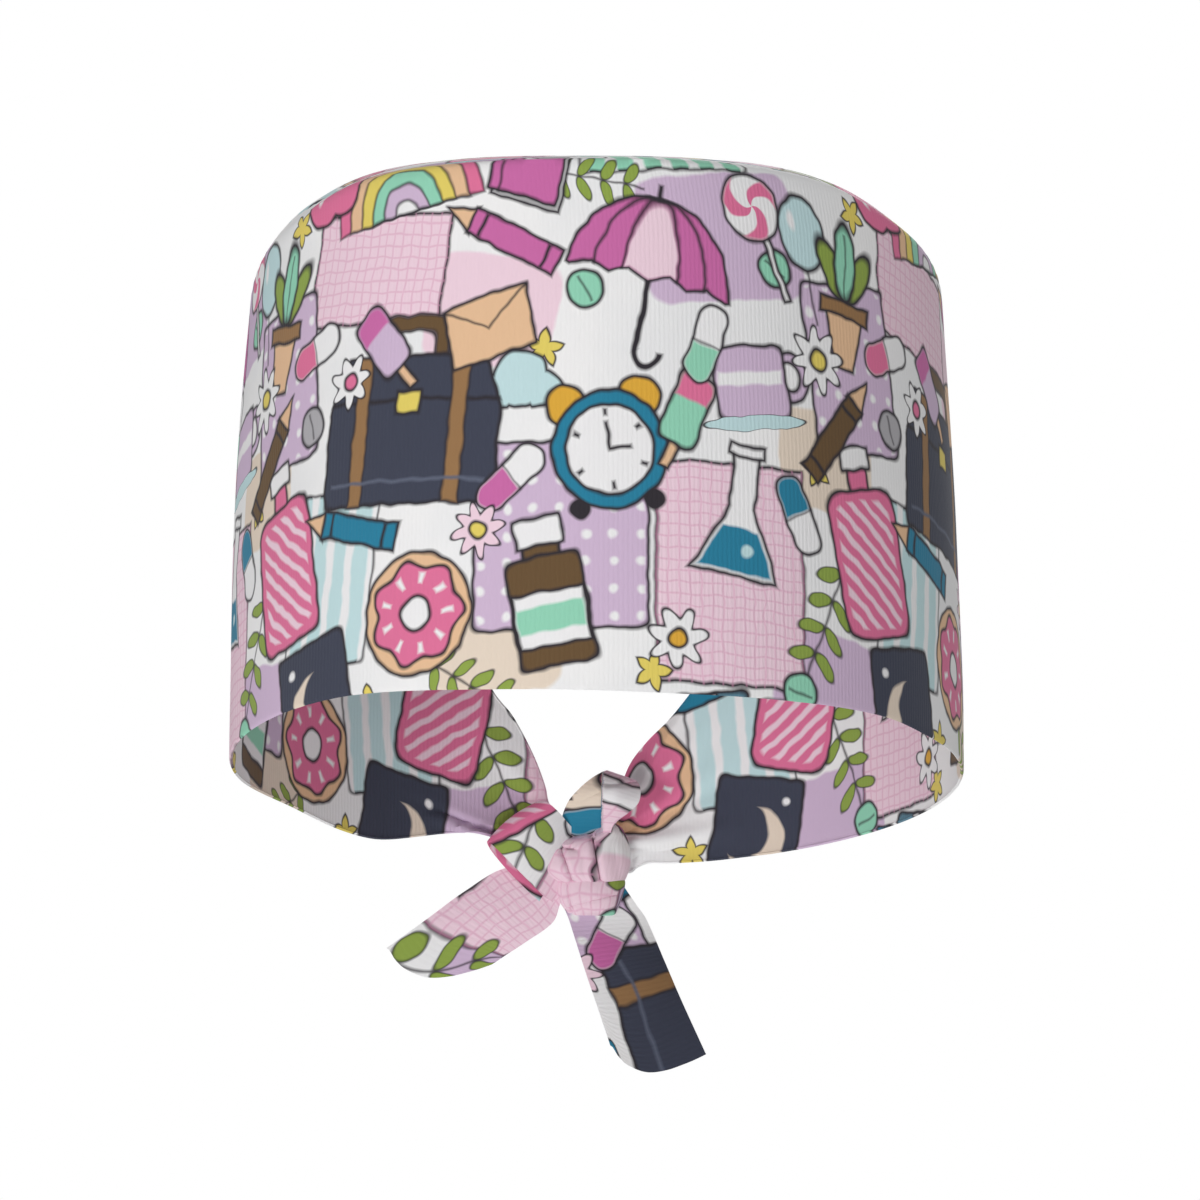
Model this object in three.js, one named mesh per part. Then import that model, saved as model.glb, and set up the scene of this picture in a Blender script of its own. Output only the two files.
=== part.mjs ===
// A tie-back scrub cap, as worn, in millimetres.
// +Z is up and the forehead faces -Y. The origin is the centre of the head opening.
// The wearer's crown is over +Z, and +X is at the right of somebody who faces the cap.
import * as THREE from "three";

// Head opening: an oval seen from above, cut by a plane that is higher at the forehead
const OPENING = { halfWidth: 90, front: 96.7, back: 102.7, tiltDegrees: 9.2 };

// Cloth and seams
const CLOTH = 1.2;
const SEAM_GAP = 0.4;
// The walls lean in by this share of their distance from the middle, for each square millimetre of height
const WALL_LEAN = 4.0e-6;
// The highest point of the crown, a little to one side of the middle
const TOP = { x: -4, y: 2, z: 150.9 };

// Angles are degrees round the head: 0 at the forehead, plus towards +X, 180 at the nape.
// height is where the band is sewn to the crown, and roundness is how sharply the crown turns down to it.
const SEAM = [
  { angle: 0, height: 142, roundness: 1.7 },
  { angle: 30, height: 140.8, roundness: 2.2 },
  { angle: 45, height: 138.2, roundness: 2.65 },
  { angle: 60, height: 131.5, roundness: 3.6 },
  { angle: 75, height: 125.3, roundness: 4.6 },
  { angle: 90, height: 117.8, roundness: 5.4 },
  { angle: 110, height: 105, roundness: 5.6 },
  { angle: 130, height: 87, roundness: 5.6 },
  { angle: 145, height: 68, roundness: 5.4 },
  { angle: 156.4, height: 43, roundness: 5.2 },
];
const SEAM_END = SEAM[SEAM.length - 1];

// The crown's free hem, an arch over the opening at the back
const HEM = [
  { angle: 156.4, height: 43 },
  { angle: 162, height: 54 },
  { angle: 170, height: 62.5 },
  { angle: 180, height: 65 },
];

// How far the lower edge lies above the plane of the opening, round the head from the left flap to the right one
const EDGE_LIFT = [
  { angle: -160, lift: 6.2 },
  { angle: -153, lift: 5.0 },
  { angle: -142, lift: 1.4 },
  { angle: -135, lift: 1.7 },
  { angle: -119, lift: 4.8 },
  { angle: -95, lift: 3.5 },
  { angle: -45, lift: 4.6 },
  { angle: -16, lift: 1.6 },
  { angle: 8, lift: 0.3 },
  { angle: 27, lift: 0.8 },
  { angle: 50, lift: 1.8 },
  { angle: 62, lift: 1.0 },
  { angle: 90, lift: 0.6 },
  { angle: 125, lift: 0 },
  { angle: 160, lift: -1 },
];

// Back flaps past FLAP_START: each row is one line across the cloth from its free edge down to its lower edge.
// x is the distance from the middle of the back, and the last row ends beside the knot.
const FLAP_START = 150;
const LEFT_FLAP = [
  { edgeX: 35.5, edgeZ: 43, lowerX: 40.5, lowerZ: -9.9 },
  { edgeX: 27, edgeZ: 27.6, lowerX: 33.5, lowerZ: -9.4 },
  { edgeX: 21.6, edgeZ: 20.7, lowerX: 28, lowerZ: -10.3 },
  { edgeX: 16.5, edgeZ: 11.2, lowerX: 23, lowerZ: -12 },
  { edgeX: 13.4, edgeZ: 3.2, lowerX: 18.5, lowerZ: -14.2 },
  { edgeX: 12.2, edgeZ: -1.8, lowerX: 15.5, lowerZ: -16.4 },
];
const RIGHT_FLAP = [
  { edgeX: 35.5, edgeZ: 43, lowerX: 38, lowerZ: -15.8 },
  { edgeX: 30, edgeZ: 34, lowerX: 31, lowerZ: -16.5 },
  { edgeX: 24.1, edgeZ: 26.5, lowerX: 24.5, lowerZ: -16.9 },
  { edgeX: 18.7, edgeZ: 20, lowerX: 19, lowerZ: -16.6 },
  { edgeX: 13.3, edgeZ: 14.8, lowerX: 14.5, lowerZ: -15.8 },
  { edgeX: 9.1, edgeZ: 9.7, lowerX: 12, lowerZ: -16 },
  { edgeX: 6.8, edgeZ: 4.2, lowerX: 10.6, lowerZ: -16.6 },
  { edgeX: 5.8, edgeZ: -2.5, lowerX: 9.8, lowerZ: -17 },
];

// Folds that the pull of the knot puts into the flaps: each runs to the knot and grows on its way.
// depth is how far the cloth stands out behind the head, and minus is a valley.
const FOLDS = [
  { fromX: -52, fromZ: 2, toX: -15, toZ: -13.5, halfWidth: 2.4, depth: -1.6 },
  { fromX: -46, fromZ: 13, toX: -13, toZ: -7, halfWidth: 3.2, depth: 1.3 },
  { fromX: -34, fromZ: 22, toX: -12, toZ: -2, halfWidth: 2.6, depth: -0.9 },
  { fromX: 34, fromZ: 24, toX: 8, toZ: -2, halfWidth: 2.6, depth: -1.2 },
  { fromX: 42, fromZ: 8, toX: 9, toZ: -8, halfWidth: 3.2, depth: 1.4 },
  { fromX: 44, fromZ: -6, toX: 10, toZ: -13, halfWidth: 2.4, depth: -1.3 },
];

// The knot, in level sections from its top to the end of its lower turn
const KNOT_Y = 101;
const KNOT = [
  { z: -7.3, left: -0.5, right: 3.6, halfDepth: 1.6 },
  { z: -8.4, left: -5, right: 5.2, halfDepth: 4 },
  { z: -10.2, left: -8.7, right: 6.6, halfDepth: 5.8 },
  { z: -12.6, left: -11.6, right: 7.8, halfDepth: 6.9 },
  { z: -15.2, left: -13.2, right: 8.2, halfDepth: 7.3 },
  { z: -17.6, left: -13.5, right: 7.9, halfDepth: 7.1 },
  { z: -20, left: -11.5, right: 7.1, halfDepth: 6.2 },
  { z: -21.9, left: -8.8, right: 6.4, halfDepth: 4.7 },
  { z: -23.4, left: -8.6, right: 6.6, halfDepth: 4.8 },
  { z: -25.4, left: -8.4, right: 6.4, halfDepth: 4.6 },
  { z: -27, left: -7.4, right: 4.6, halfDepth: 3.2 },
  { z: -27.6, left: -5.4, right: 2.4, halfDepth: 1.4 },
];

// Ribbons of the tie. A row is one line across the ribbon, from edge a to edge b, and bow is how far the middle
// of that line stands towards the camera side (-Y) of the straight line between them.
const LOOP_LEFT = [
  { ax: -10.8, az: -5.4, bx: -15.2, bz: -19.6, y: 96.4, bow: 0.4 },
  { ax: -13.4, az: -2.4, bx: -14.6, bz: -22.4, y: 92.6, bow: 1.2 },
  { ax: -17.6, az: -1.2, bx: -14.2, bz: -25, y: 90.6, bow: 1.6 },
  { ax: -22.8, az: -5.8, bx: -14.6, bz: -26.8, y: 90.4, bow: 1.2 },
  { ax: -26.8, az: -10.4, bx: -15.2, bz: -27.4, y: 91.6, bow: 0.5 },
  { ax: -28.0, az: -12.0, bx: -15.8, bz: -27.6, y: 92.8, bow: 0 },
  { ax: -26.8, az: -10.6, bx: -15.4, bz: -26.8, y: 94.2, bow: 0 },
  { ax: -21.8, az: -6.4, bx: -15.2, bz: -24.8, y: 95.4, bow: 0 },
  { ax: -12.2, az: -6, bx: -13.4, bz: -20.2, y: 98.4, bow: 0 },
];
const LOOP_RIGHT = [
  { ax: -8.8, az: -7.0, bx: 4.4, bz: -7.2, y: 97.0, bow: 0.4 },
  { ax: -7.4, az: -1.6, bx: 8.0, bz: -4.2, y: 94.0, bow: 1.2 },
  { ax: -4.6, az: 1.6, bx: 10.6, bz: -1.8, y: 92.2, bow: 1.6 },
  { ax: -1.4, az: 4.3, bx: 11.2, bz: 0.6, y: 92.4, bow: 1.2 },
  { ax: 1.2, az: 5.9, bx: 10.8, bz: 2.8, y: 93.8, bow: 0.4 },
  { ax: 2.8, az: 6.4, bx: 9.8, bz: 4.0, y: 95.6, bow: 0 },
  { ax: 2.2, az: 5.0, bx: 9.6, bz: 2.4, y: 97.4, bow: 0 },
  { ax: 0.2, az: 1.4, bx: 8.6, bz: -0.8, y: 98.6, bow: 0 },
  { ax: -2.6, az: -5.4, bx: 5.0, bz: -6.8, y: 99.2, bow: 0 },
];
const TAIL_LEFT = [
  { ax: -15.2, az: -18.2, bx: -8.9, bz: -26.6, y: 101.0, bow: 0 },
  { ax: -23.9, az: -18.4, bx: -11.2, bz: -32.0, y: 101.8, bow: 1.0 },
  { ax: -33.8, az: -24.1, bx: -18.5, bz: -37.3, y: 103.0, bow: 1.6 },
  { ax: -43.6, az: -31.2, bx: -24.4, bz: -41.0, y: 104.2, bow: 1.2 },
  { ax: -53.9, az: -38.9, bx: -29.2, bz: -43.9, y: 105.6, bow: 0.4 },
];
const TAIL_RIGHT = [
  { ax: -8.6, az: -28.5, bx: 10.2, bz: -27.7, y: 101.4, bow: 1.0 },
  { ax: -7.2, az: -32.0, bx: 12.4, bz: -30.8, y: 101.8, bow: 1.6 },
  { ax: -2.5, az: -46.1, bx: 17.4, bz: -42.2, y: 102.8, bow: 1.8 },
  { ax: 0.6, az: -55.1, bx: 21.2, bz: -51.0, y: 103.6, bow: 1.4 },
  { ax: 6.2, az: -66.4, bx: 28.0, bz: -66.0, y: 104.8, bow: 0.6 },
];
// How far the rounded ends of the tails reach past their last straight line
const TAIL_END = { left: 4.6, right: 4.6 };

// Fineness of the faceted solids
const BAND_STEP_DEGREES = 5;
const BAND_ROWS = 10;
const FLAP_STEPS = 2;
const CROWN_RINGS = 11;
const RIBBON_STEPS = 3;
const RIBBON_ACROSS = 4;
const KNOT_SIDES = 18;

const SEAM_STEP = 0.5;

const TILT = THREE.MathUtils.degToRad(OPENING.tiltDegrees);
const CAMERA_SIDE = new THREE.Vector3(0, -1, 0);

// Smooth value of one column of a table at a place between its rows
function smooth(rows, key, column, at) {
  const last = rows.length - 1;
  if (at <= rows[0][key]) return rows[0][column];
  if (at >= rows[last][key]) return rows[last][column];
  let i = 0;
  while (rows[i + 1][key] < at) i += 1;
  const slope = (j) => {
    if (j === 0) return 0;
    const next = Math.min(j + 1, last);
    return (rows[next][column] - rows[j - 1][column]) / (rows[next][key] - rows[j - 1][key]);
  };
  const span = rows[i + 1][key] - rows[i][key];
  const t = (at - rows[i][key]) / span;
  const t2 = t * t;
  const t3 = t2 * t;
  return (2 * t3 - 3 * t2 + 1) * rows[i][column]
    + (t3 - 2 * t2 + t) * span * slope(i)
    + (3 * t2 - 2 * t3) * rows[i + 1][column]
    + (t3 - t2) * span * slope(i + 1);
}

// The oval of the head opening seen from above
function plan(angle) {
  const a = THREE.MathUtils.degToRad(angle);
  const depth = Math.cos(a) > 0 ? OPENING.front : OPENING.back;
  return new THREE.Vector2(OPENING.halfWidth * Math.sin(a), -depth * Math.cos(a));
}

const lean = (z) => 1 - WALL_LEAN * Math.max(z, 0) ** 2;

// A point of the wall's outer face
function wall(angle, z) {
  const p = plan(angle).multiplyScalar(lean(z));
  return new THREE.Vector3(p.x, p.y, z);
}

// How far the folds move the cloth of a flap at a place on the back wall
function foldDepth(x, z) {
  let depth = 0;
  for (const fold of FOLDS) {
    const runX = fold.toX - fold.fromX;
    const runZ = fold.toZ - fold.fromZ;
    const length = Math.hypot(runX, runZ);
    const along = ((x - fold.fromX) * runX + (z - fold.fromZ) * runZ) / (length * length);
    const aside = ((x - fold.fromX) * runZ - (z - fold.fromZ) * runX) / length;
    const growth = THREE.MathUtils.smoothstep(along, 0, 0.9);
    depth += fold.depth * growth * Math.exp(-((aside / fold.halfWidth) ** 2));
  }
  return depth;
}

// The angle of the back wall at a distance from its middle
function backAngle(x, z) {
  const share = x / (OPENING.halfWidth * lean(z));
  return 180 - THREE.MathUtils.radToDeg(Math.asin(share));
}

const lowerEdge = (angle) => -plan(angle).y * Math.tan(TILT) + smooth(EDGE_LIFT, "angle", "lift", angle);

const seamHeight = (angle) => smooth(SEAM, "angle", "height", Math.abs(angle));

// A point of the crown's outer face: reach is 0 at the top and 1 at the height where the band would meet it
function crownPoint(angle, reach) {
  const base = seamHeight(angle);
  const foot = wall(angle, base);
  const roundness = smooth(SEAM, "angle", "roundness", Math.abs(angle));
  return new THREE.Vector3(
    TOP.x + reach * (foot.x - TOP.x),
    TOP.y + reach * (foot.y - TOP.y),
    TOP.z - (TOP.z - base) * reach ** roundness,
  );
}

// How far the crown reaches: to the seam, or to the hem over the opening
function crownReach(angle) {
  const a = Math.abs(angle);
  if (a <= SEAM_END.angle) return 1;
  const hem = smooth(HEM, "angle", "height", a);
  return ((TOP.z - hem) / (TOP.z - SEAM_END.height)) ** (1 / SEAM_END.roundness);
}

// A short stretch along the seam, kept inside its two ends
function seamRun(angle) {
  const limit = SEAM_END.angle - SEAM_STEP;
  const at = THREE.MathUtils.clamp(angle, -limit, limit);
  const end = wall(at + SEAM_STEP, seamHeight(at + SEAM_STEP));
  return end.sub(wall(at - SEAM_STEP, seamHeight(at - SEAM_STEP)));
}

// How far each cloth ends from the seam line, measured up the wall where the seam itself slopes
function seamClearance(angle) {
  const run = seamRun(angle);
  return (SEAM_GAP / 2) * (run.length() / Math.hypot(run.x, run.y));
}

// The line along which the two cloths are mitred at the seam, scaled so that both walls keep their thickness
function seamMitre(angle) {
  const run = seamRun(angle);
  const seam = wall(angle, seamHeight(angle));
  const down = wall(angle, seamHeight(angle) - SEAM_STEP).sub(seam);
  const inward = crownPoint(angle, 0.99).sub(seam);
  const wallNormal = down.cross(run).normalize();
  const crownNormal = run.clone().cross(inward).normalize();
  const outward = seam.clone().normalize();
  if (wallNormal.dot(outward) < 0) wallNormal.negate();
  if (crownNormal.dot(outward) < 0) crownNormal.negate();
  return wallNormal.clone().add(crownNormal).divideScalar(1 + wallNormal.dot(crownNormal));
}

// Normals of a grid of points, from its neighbours. The grid may close round on itself.
function gridNormals(grid, closed) {
  const columns = grid.length;
  return grid.map((column, i) => column.map((_, j) => {
    const before = closed ? grid[(i + columns - 1) % columns] : grid[Math.max(i - 1, 0)];
    const after = closed ? grid[(i + 1) % columns] : grid[Math.min(i + 1, columns - 1)];
    const across = after[j].clone().sub(before[j]);
    const up = column[Math.min(j + 1, column.length - 1)].clone().sub(column[Math.max(j - 1, 0)]);
    return across.cross(up).normalize();
  }));
}

// A closed solid between two grids of points that face each other
function sheetSolid(outer, inner, closed) {
  const positions = [];
  const indices = [];
  const known = new Map();
  const vertex = (p) => {
    const key = [p.x, p.y, p.z].map((v) => v.toFixed(3)).join(",");
    if (!known.has(key)) {
      known.set(key, positions.length / 3);
      positions.push(p.x, p.y, p.z);
    }
    return known.get(key);
  };
  const triangle = (a, b, c) => {
    const [i, j, k] = [vertex(a), vertex(b), vertex(c)];
    if (i !== j && j !== k && k !== i) indices.push(i, j, k);
  };
  const quad = (a, b, c, d) => {
    if (a.distanceTo(c) <= b.distanceTo(d)) {
      triangle(a, b, c);
      triangle(a, c, d);
    } else {
      triangle(a, b, d);
      triangle(b, c, d);
    }
  };
  const columns = outer.length;
  const rows = outer[0].length;
  const spans = closed ? columns : columns - 1;
  for (let i = 0; i < spans; i += 1) {
    const next = (i + 1) % columns;
    for (let j = 0; j + 1 < rows; j += 1) {
      quad(outer[i][j], outer[next][j], outer[next][j + 1], outer[i][j + 1]);
      quad(inner[i][j], inner[i][j + 1], inner[next][j + 1], inner[next][j]);
    }
    quad(outer[i][0], inner[i][0], inner[next][0], outer[next][0]);
    quad(outer[i][rows - 1], outer[next][rows - 1], inner[next][rows - 1], inner[i][rows - 1]);
  }
  if (!closed) {
    const end = columns - 1;
    for (let j = 0; j + 1 < rows; j += 1) {
      quad(outer[0][j], outer[0][j + 1], inner[0][j + 1], inner[0][j]);
      quad(outer[end][j], inner[end][j], inner[end][j + 1], outer[end][j + 1]);
    }
  }
  return outwardGeometry(positions, indices);
}

// Turns every face outwards if the closed shape is inside out
function outwardGeometry(positions, indices) {
  const corner = (i) => new THREE.Vector3().fromArray(positions, 3 * i);
  let volume = 0;
  for (let i = 0; i < indices.length; i += 3) {
    volume += corner(indices[i]).dot(corner(indices[i + 1]).cross(corner(indices[i + 2])));
  }
  if (volume < 0) indices.reverse();
  const geometry = new THREE.BufferGeometry();
  geometry.setAttribute("position", new THREE.Float32BufferAttribute(positions, 3));
  geometry.setIndex(indices);
  geometry.computeVertexNormals();
  return geometry;
}

// Lines across the band's cloth, from the end of the left flap round the forehead to the end of the right one
function bandLines() {
  const lines = [];
  const flapLines = (rows, side) => {
    const found = [];
    const sub = FLAP_STEPS;
    const numbered = rows.map((row, index) => ({ index, ...row }));
    for (let step = 0; step <= (rows.length - 1) * sub; step += 1) {
      const at = step / sub;
      const value = (column) => smooth(numbered, "index", column, at);
      found.push({
        lowerAngle: side * backAngle(value("lowerX"), value("lowerZ")),
        lowerZ: value("lowerZ"),
        upperAngle: side * backAngle(value("edgeX"), value("edgeZ")),
        upperZ: value("edgeZ"),
        sewn: step === 0,
      });
    }
    return found;
  };
  lines.push(...flapLines(LEFT_FLAP, -1).reverse());
  for (let angle = -FLAP_START; angle <= FLAP_START; angle += BAND_STEP_DEGREES) {
    lines.push({
      lowerAngle: angle,
      lowerZ: lowerEdge(angle),
      upperAngle: angle,
      upperZ: seamHeight(angle),
      sewn: true,
    });
  }
  lines.push(...flapLines(RIGHT_FLAP, 1));
  return lines;
}

function bandGeometry() {
  const lines = bandLines();
  const outer = lines.map((line) => {
    const column = [];
    const top = line.sewn ? line.upperZ - seamClearance(line.upperAngle) : line.upperZ;
    for (let row = 0; row <= BAND_ROWS; row += 1) {
      const share = row / BAND_ROWS;
      const angle = THREE.MathUtils.lerp(line.lowerAngle, line.upperAngle, share);
      const point = wall(angle, THREE.MathUtils.lerp(line.lowerZ, top, share));
      if (point.y > 0) point.y += foldDepth(point.x, point.z);
      column.push(point);
    }
    return column;
  });
  const normals = gridNormals(outer, false);
  const inner = outer.map((column, i) => column.map((point, j) => {
    const sewn = lines[i].sewn && j === BAND_ROWS;
    const inward = sewn ? seamMitre(lines[i].upperAngle) : normals[i][j];
    return point.clone().addScaledVector(inward, -CLOTH);
  }));
  return sheetSolid(outer, inner, false);
}

// One line of the crown from its edge to the top, with evenly long steps
function crownLine(angle) {
  const fine = 80;
  const edge = crownReach(angle);
  const sewn = edge === 1;
  const points = [];
  for (let i = 0; i <= fine; i += 1) points.push(crownPoint(angle, edge * (1 - i / fine)));
  const lengths = [0];
  for (let i = 1; i <= fine; i += 1) lengths.push(lengths[i - 1] + points[i].distanceTo(points[i - 1]));
  const start = sewn ? seamClearance(angle) : 0;
  const column = [];
  let k = 0;
  for (let ring = 0; ring <= CROWN_RINGS; ring += 1) {
    const wanted = start + (lengths[fine] - start) * (ring / CROWN_RINGS);
    while (k + 1 < fine && lengths[k + 1] < wanted) k += 1;
    const share = (wanted - lengths[k]) / (lengths[k + 1] - lengths[k]);
    column.push(points[k].clone().lerp(points[k + 1], share));
  }
  return { column, sewn };
}

// Angles of the crown's lines: closer together round the hem, with one at each end of the seam
function crownAngles() {
  const angles = [];
  for (let angle = -FLAP_START; angle <= FLAP_START; angle += BAND_STEP_DEGREES) angles.push(angle);
  for (const step of [SEAM_END.angle, 160, 164, 168, 172, 176, 180]) angles.push(step);
  for (const step of [-176, -172, -168, -164, -160, -SEAM_END.angle]) angles.push(step);
  return angles;
}

function crownGeometry() {
  const angles = crownAngles();
  const lines = angles.map(crownLine);
  const outer = lines.map((line) => line.column);
  const normals = gridNormals(outer, true);
  const inner = outer.map((column, i) => column.map((point, j) => {
    if (j === CROWN_RINGS) return point.clone().setZ(point.z - CLOTH);
    const inward = lines[i].sewn && j === 0 ? seamMitre(angles[i]) : normals[i][j];
    return point.clone().addScaledVector(inward, -CLOTH);
  }));
  return sheetSolid(outer, inner, true);
}

// A ribbon through the rows of a table, as thick as the cloth, with an end that may be rounded
function ribbonGeometry(rows, endReach = 0) {
  const edge = (side) => new THREE.CatmullRomCurve3(
    rows.map((row) => new THREE.Vector3(row[`${side}x`], row.y, row[`${side}z`])),
    false,
    "centripetal",
  );
  const edgeA = edge("a");
  const edgeB = edge("b");
  const count = (rows.length - 1) * RIBBON_STEPS;
  const numbered = rows.map((row, index) => ({ index, ...row }));
  const ahead = edgeA.getPoint(1).add(edgeB.getPoint(1)).sub(edgeA.getPoint(0.96)).sub(edgeB.getPoint(0.96));
  ahead.normalize();
  const middle = [];
  for (let i = 0; i <= count; i += 1) {
    const t = i / count;
    const bow = smooth(numbered, "index", "bow", t * (rows.length - 1));
    const line = [];
    for (let j = 0; j <= RIBBON_ACROSS; j += 1) {
      const share = j / RIBBON_ACROSS;
      const arch = 4 * share * (1 - share);
      const point = edgeA.getPoint(t).lerp(edgeB.getPoint(t), share);
      point.addScaledVector(CAMERA_SIDE, bow * arch);
      point.addScaledVector(ahead, endReach * arch * THREE.MathUtils.smoothstep(t, 0.7, 1));
      line.push(point);
    }
    middle.push(line);
  }
  const normals = gridNormals(middle, false);
  const face = (offset) => middle.map((line, i) => line.map((p, j) => p.clone().addScaledVector(normals[i][j], offset)));
  return sheetSolid(face(CLOTH / 2), face(-CLOTH / 2), false);
}

// The knot is closed at its top and bottom by a point in the middle of the end sections
function knotGeometry() {
  const positions = [];
  const indices = [];
  const middleOf = (row) => (row.left + row.right) / 2;
  for (const row of KNOT) {
    for (let side = 0; side < KNOT_SIDES; side += 1) {
      const a = (2 * Math.PI * side) / KNOT_SIDES;
      const x = middleOf(row) + ((row.right - row.left) / 2) * Math.sin(a);
      positions.push(x, KNOT_Y - row.halfDepth * Math.cos(a), row.z);
    }
  }
  const ring = (level, side) => level * KNOT_SIDES + (side % KNOT_SIDES);
  for (let level = 0; level + 1 < KNOT.length; level += 1) {
    for (let side = 0; side < KNOT_SIDES; side += 1) {
      indices.push(ring(level, side), ring(level + 1, side), ring(level + 1, side + 1));
      indices.push(ring(level, side), ring(level + 1, side + 1), ring(level, side + 1));
    }
  }
  const last = KNOT.length - 1;
  const top = positions.length / 3;
  positions.push(middleOf(KNOT[0]), KNOT_Y, KNOT[0].z);
  const bottom = top + 1;
  positions.push(middleOf(KNOT[last]), KNOT_Y, KNOT[last].z);
  for (let side = 0; side < KNOT_SIDES; side += 1) {
    indices.push(top, ring(0, side), ring(0, side + 1));
    indices.push(bottom, ring(last, side + 1), ring(last, side));
  }
  return outwardGeometry(positions, indices);
}

function clothPiece(name, geometry, color) {
  const material = new THREE.MeshStandardMaterial({ color, roughness: 0.92, metalness: 0 });
  const mesh = new THREE.Mesh(geometry, material);
  mesh.name = name;
  return mesh;
}

const cap = new THREE.Group();
cap.name = "scrub_cap";
cap.add(
  clothPiece("band", bandGeometry(), "#e9dfe6"),
  clothPiece("crown", crownGeometry(), "#e4dae2"),
  clothPiece("tie_knot", knotGeometry(), "#ecd9e4"),
  clothPiece("tie_loop_left", ribbonGeometry(LOOP_LEFT), "#dfe0dc"),
  clothPiece("tie_loop_right", ribbonGeometry(LOOP_RIGHT), "#dcd3dd"),
  clothPiece("tie_tail_left", ribbonGeometry(TAIL_LEFT, TAIL_END.left), "#ead5df"),
  clothPiece("tie_tail_right", ribbonGeometry(TAIL_RIGHT, TAIL_END.right), "#c9c6cf"),
);

export default cap;
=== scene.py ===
# %% [markdown]
# # A tie-back scrub cap
#
# The cap is worn: a tall wall of printed cloth goes round the head, a crown of the same cloth closes the
# top, and at the nape two flaps of the wall run into a small tied bow. The solid CAD model is loaded first
# and stays as the fixed frame. Each cell after that dresses one part of it. Tables and lengths are in
# millimetres, as in the CAD model, and MM turns them into Blender's metres.

import math
from bisect import bisect_right
from functools import cache
from itertools import accumulate

import bpy
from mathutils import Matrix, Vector, noise


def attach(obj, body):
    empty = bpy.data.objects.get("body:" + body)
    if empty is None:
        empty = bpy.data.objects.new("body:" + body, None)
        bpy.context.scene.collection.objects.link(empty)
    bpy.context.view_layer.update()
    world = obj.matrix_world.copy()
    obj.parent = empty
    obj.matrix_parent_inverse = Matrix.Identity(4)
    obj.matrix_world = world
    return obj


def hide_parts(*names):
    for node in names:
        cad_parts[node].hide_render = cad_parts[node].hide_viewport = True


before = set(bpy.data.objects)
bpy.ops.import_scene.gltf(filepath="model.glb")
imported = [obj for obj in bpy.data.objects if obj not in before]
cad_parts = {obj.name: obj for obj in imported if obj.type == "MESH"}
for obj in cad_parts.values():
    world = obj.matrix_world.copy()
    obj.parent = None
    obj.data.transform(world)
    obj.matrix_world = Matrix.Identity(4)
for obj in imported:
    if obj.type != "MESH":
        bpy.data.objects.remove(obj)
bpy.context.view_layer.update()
bpy.ops.object.select_all(action="DESELECT")
MM = 0.001

# %% [markdown]
# ## The camera
#
# A long lens from two metres away keeps the walls nearly parallel. The camera stands a little below the rim
# and looks slightly up, so that the inside of the back flaps shows under the edge of the forehead.

# %% Camera
CAMERA_PLACE = Vector((0.86, -1895.4, -88.5)) * MM
CAMERA_UP_DEGREES = 4
bpy.ops.object.camera_add(location=CAMERA_PLACE, rotation=(math.radians(90 + CAMERA_UP_DEGREES), 0, 0))
camera = bpy.context.object
camera.name = "Camera"
camera.data.sensor_width = 36
camera.data.lens = 232
camera.data.clip_start = 0.1
camera.data.clip_end = 60
bpy.context.scene.camera = camera

# %% [markdown]
# ## The form of the cloth
#
# The wall is an oval seen from above, and it leans in very slightly towards the top. A few short tables say
# how high the seam and the lower edge run at each angle round the head: 0 is the middle of the forehead, 90
# is the right of somebody who faces the cap, and 180 is the nape. A smooth curve joins their rows.

# %% Tables of the oval, the seam and the lower edge
# half sizes of the oval: to the side, to the front and to the back
HALF_WIDTH, FRONT, BACK = 90, 96.7, 102.7
TILT = math.radians(9.2)
WALL_LEAN = 4e-6
TOP = Vector((-4, 2, 150.9))
# lean of the soft top to the left, and the heights between which it begins
SWAY = 2.2
SWAY_HEIGHTS = (122, 152)
# angle, height of the seam, how sharply the crown turns down to it
SEAM = [
    (0, 142, 1.7), (30, 140.8, 2.2), (45, 138.2, 2.65), (60, 131.5, 3.6), (75, 125.3, 4.6), (90, 117.8, 5.4),
    (110, 105, 5.6), (130, 87, 5.6), (145, 68, 5.4), (156.4, 43, 5.2),
]
SEAM_END, SEAM_END_HEIGHT, SEAM_END_ROUNDNESS = SEAM[-1]
# angle, and how far the band reaches over the shoulder onto the top
LAP = [(0, 2.5), (15, 4), (30, 8), (45, 11), (60, 12), (80, 9), (100, 3), (115, 0)]
# angle and height of the crown's free hem over the opening at the back
HEM = [(156.4, 43), (162, 54), (170, 62.5), (180, 65)]
# angle, and how far the lower edge lies above the plane of the head opening
EDGE_LIFT = [
    (-160, 6), (-153, 4.8), (-142, 1.4), (-135, 1.5), (-119, 4.1), (-95, 3.4), (-45, 4.6), (-16, 1.6),
    (8, 0.3), (27, 0.8), (50, 1.8), (62, 1), (90, 0.6), (125, 0), (160, -1),
]


def smooth(rows, column, at):
    """One column of a table at a place between its rows, on a smooth curve."""
    at = min(max(at, rows[0][0]), rows[-1][0])
    i = max(j for j in range(len(rows) - 1) if rows[j][0] <= at)

    def slope(j):
        if j == 0:
            return 0
        after = min(j + 1, len(rows) - 1)
        return (rows[after][column] - rows[j - 1][column]) / (rows[after][0] - rows[j - 1][0])

    span = rows[i + 1][0] - rows[i][0]
    t = (at - rows[i][0]) / span
    return (
        (2 * t**3 - 3 * t**2 + 1) * rows[i][column]
        + (t**3 - 2 * t**2 + t) * span * slope(i)
        + (3 * t**2 - 2 * t**3) * rows[i + 1][column]
        + (t**3 - t**2) * span * slope(i + 1)
    )


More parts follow.
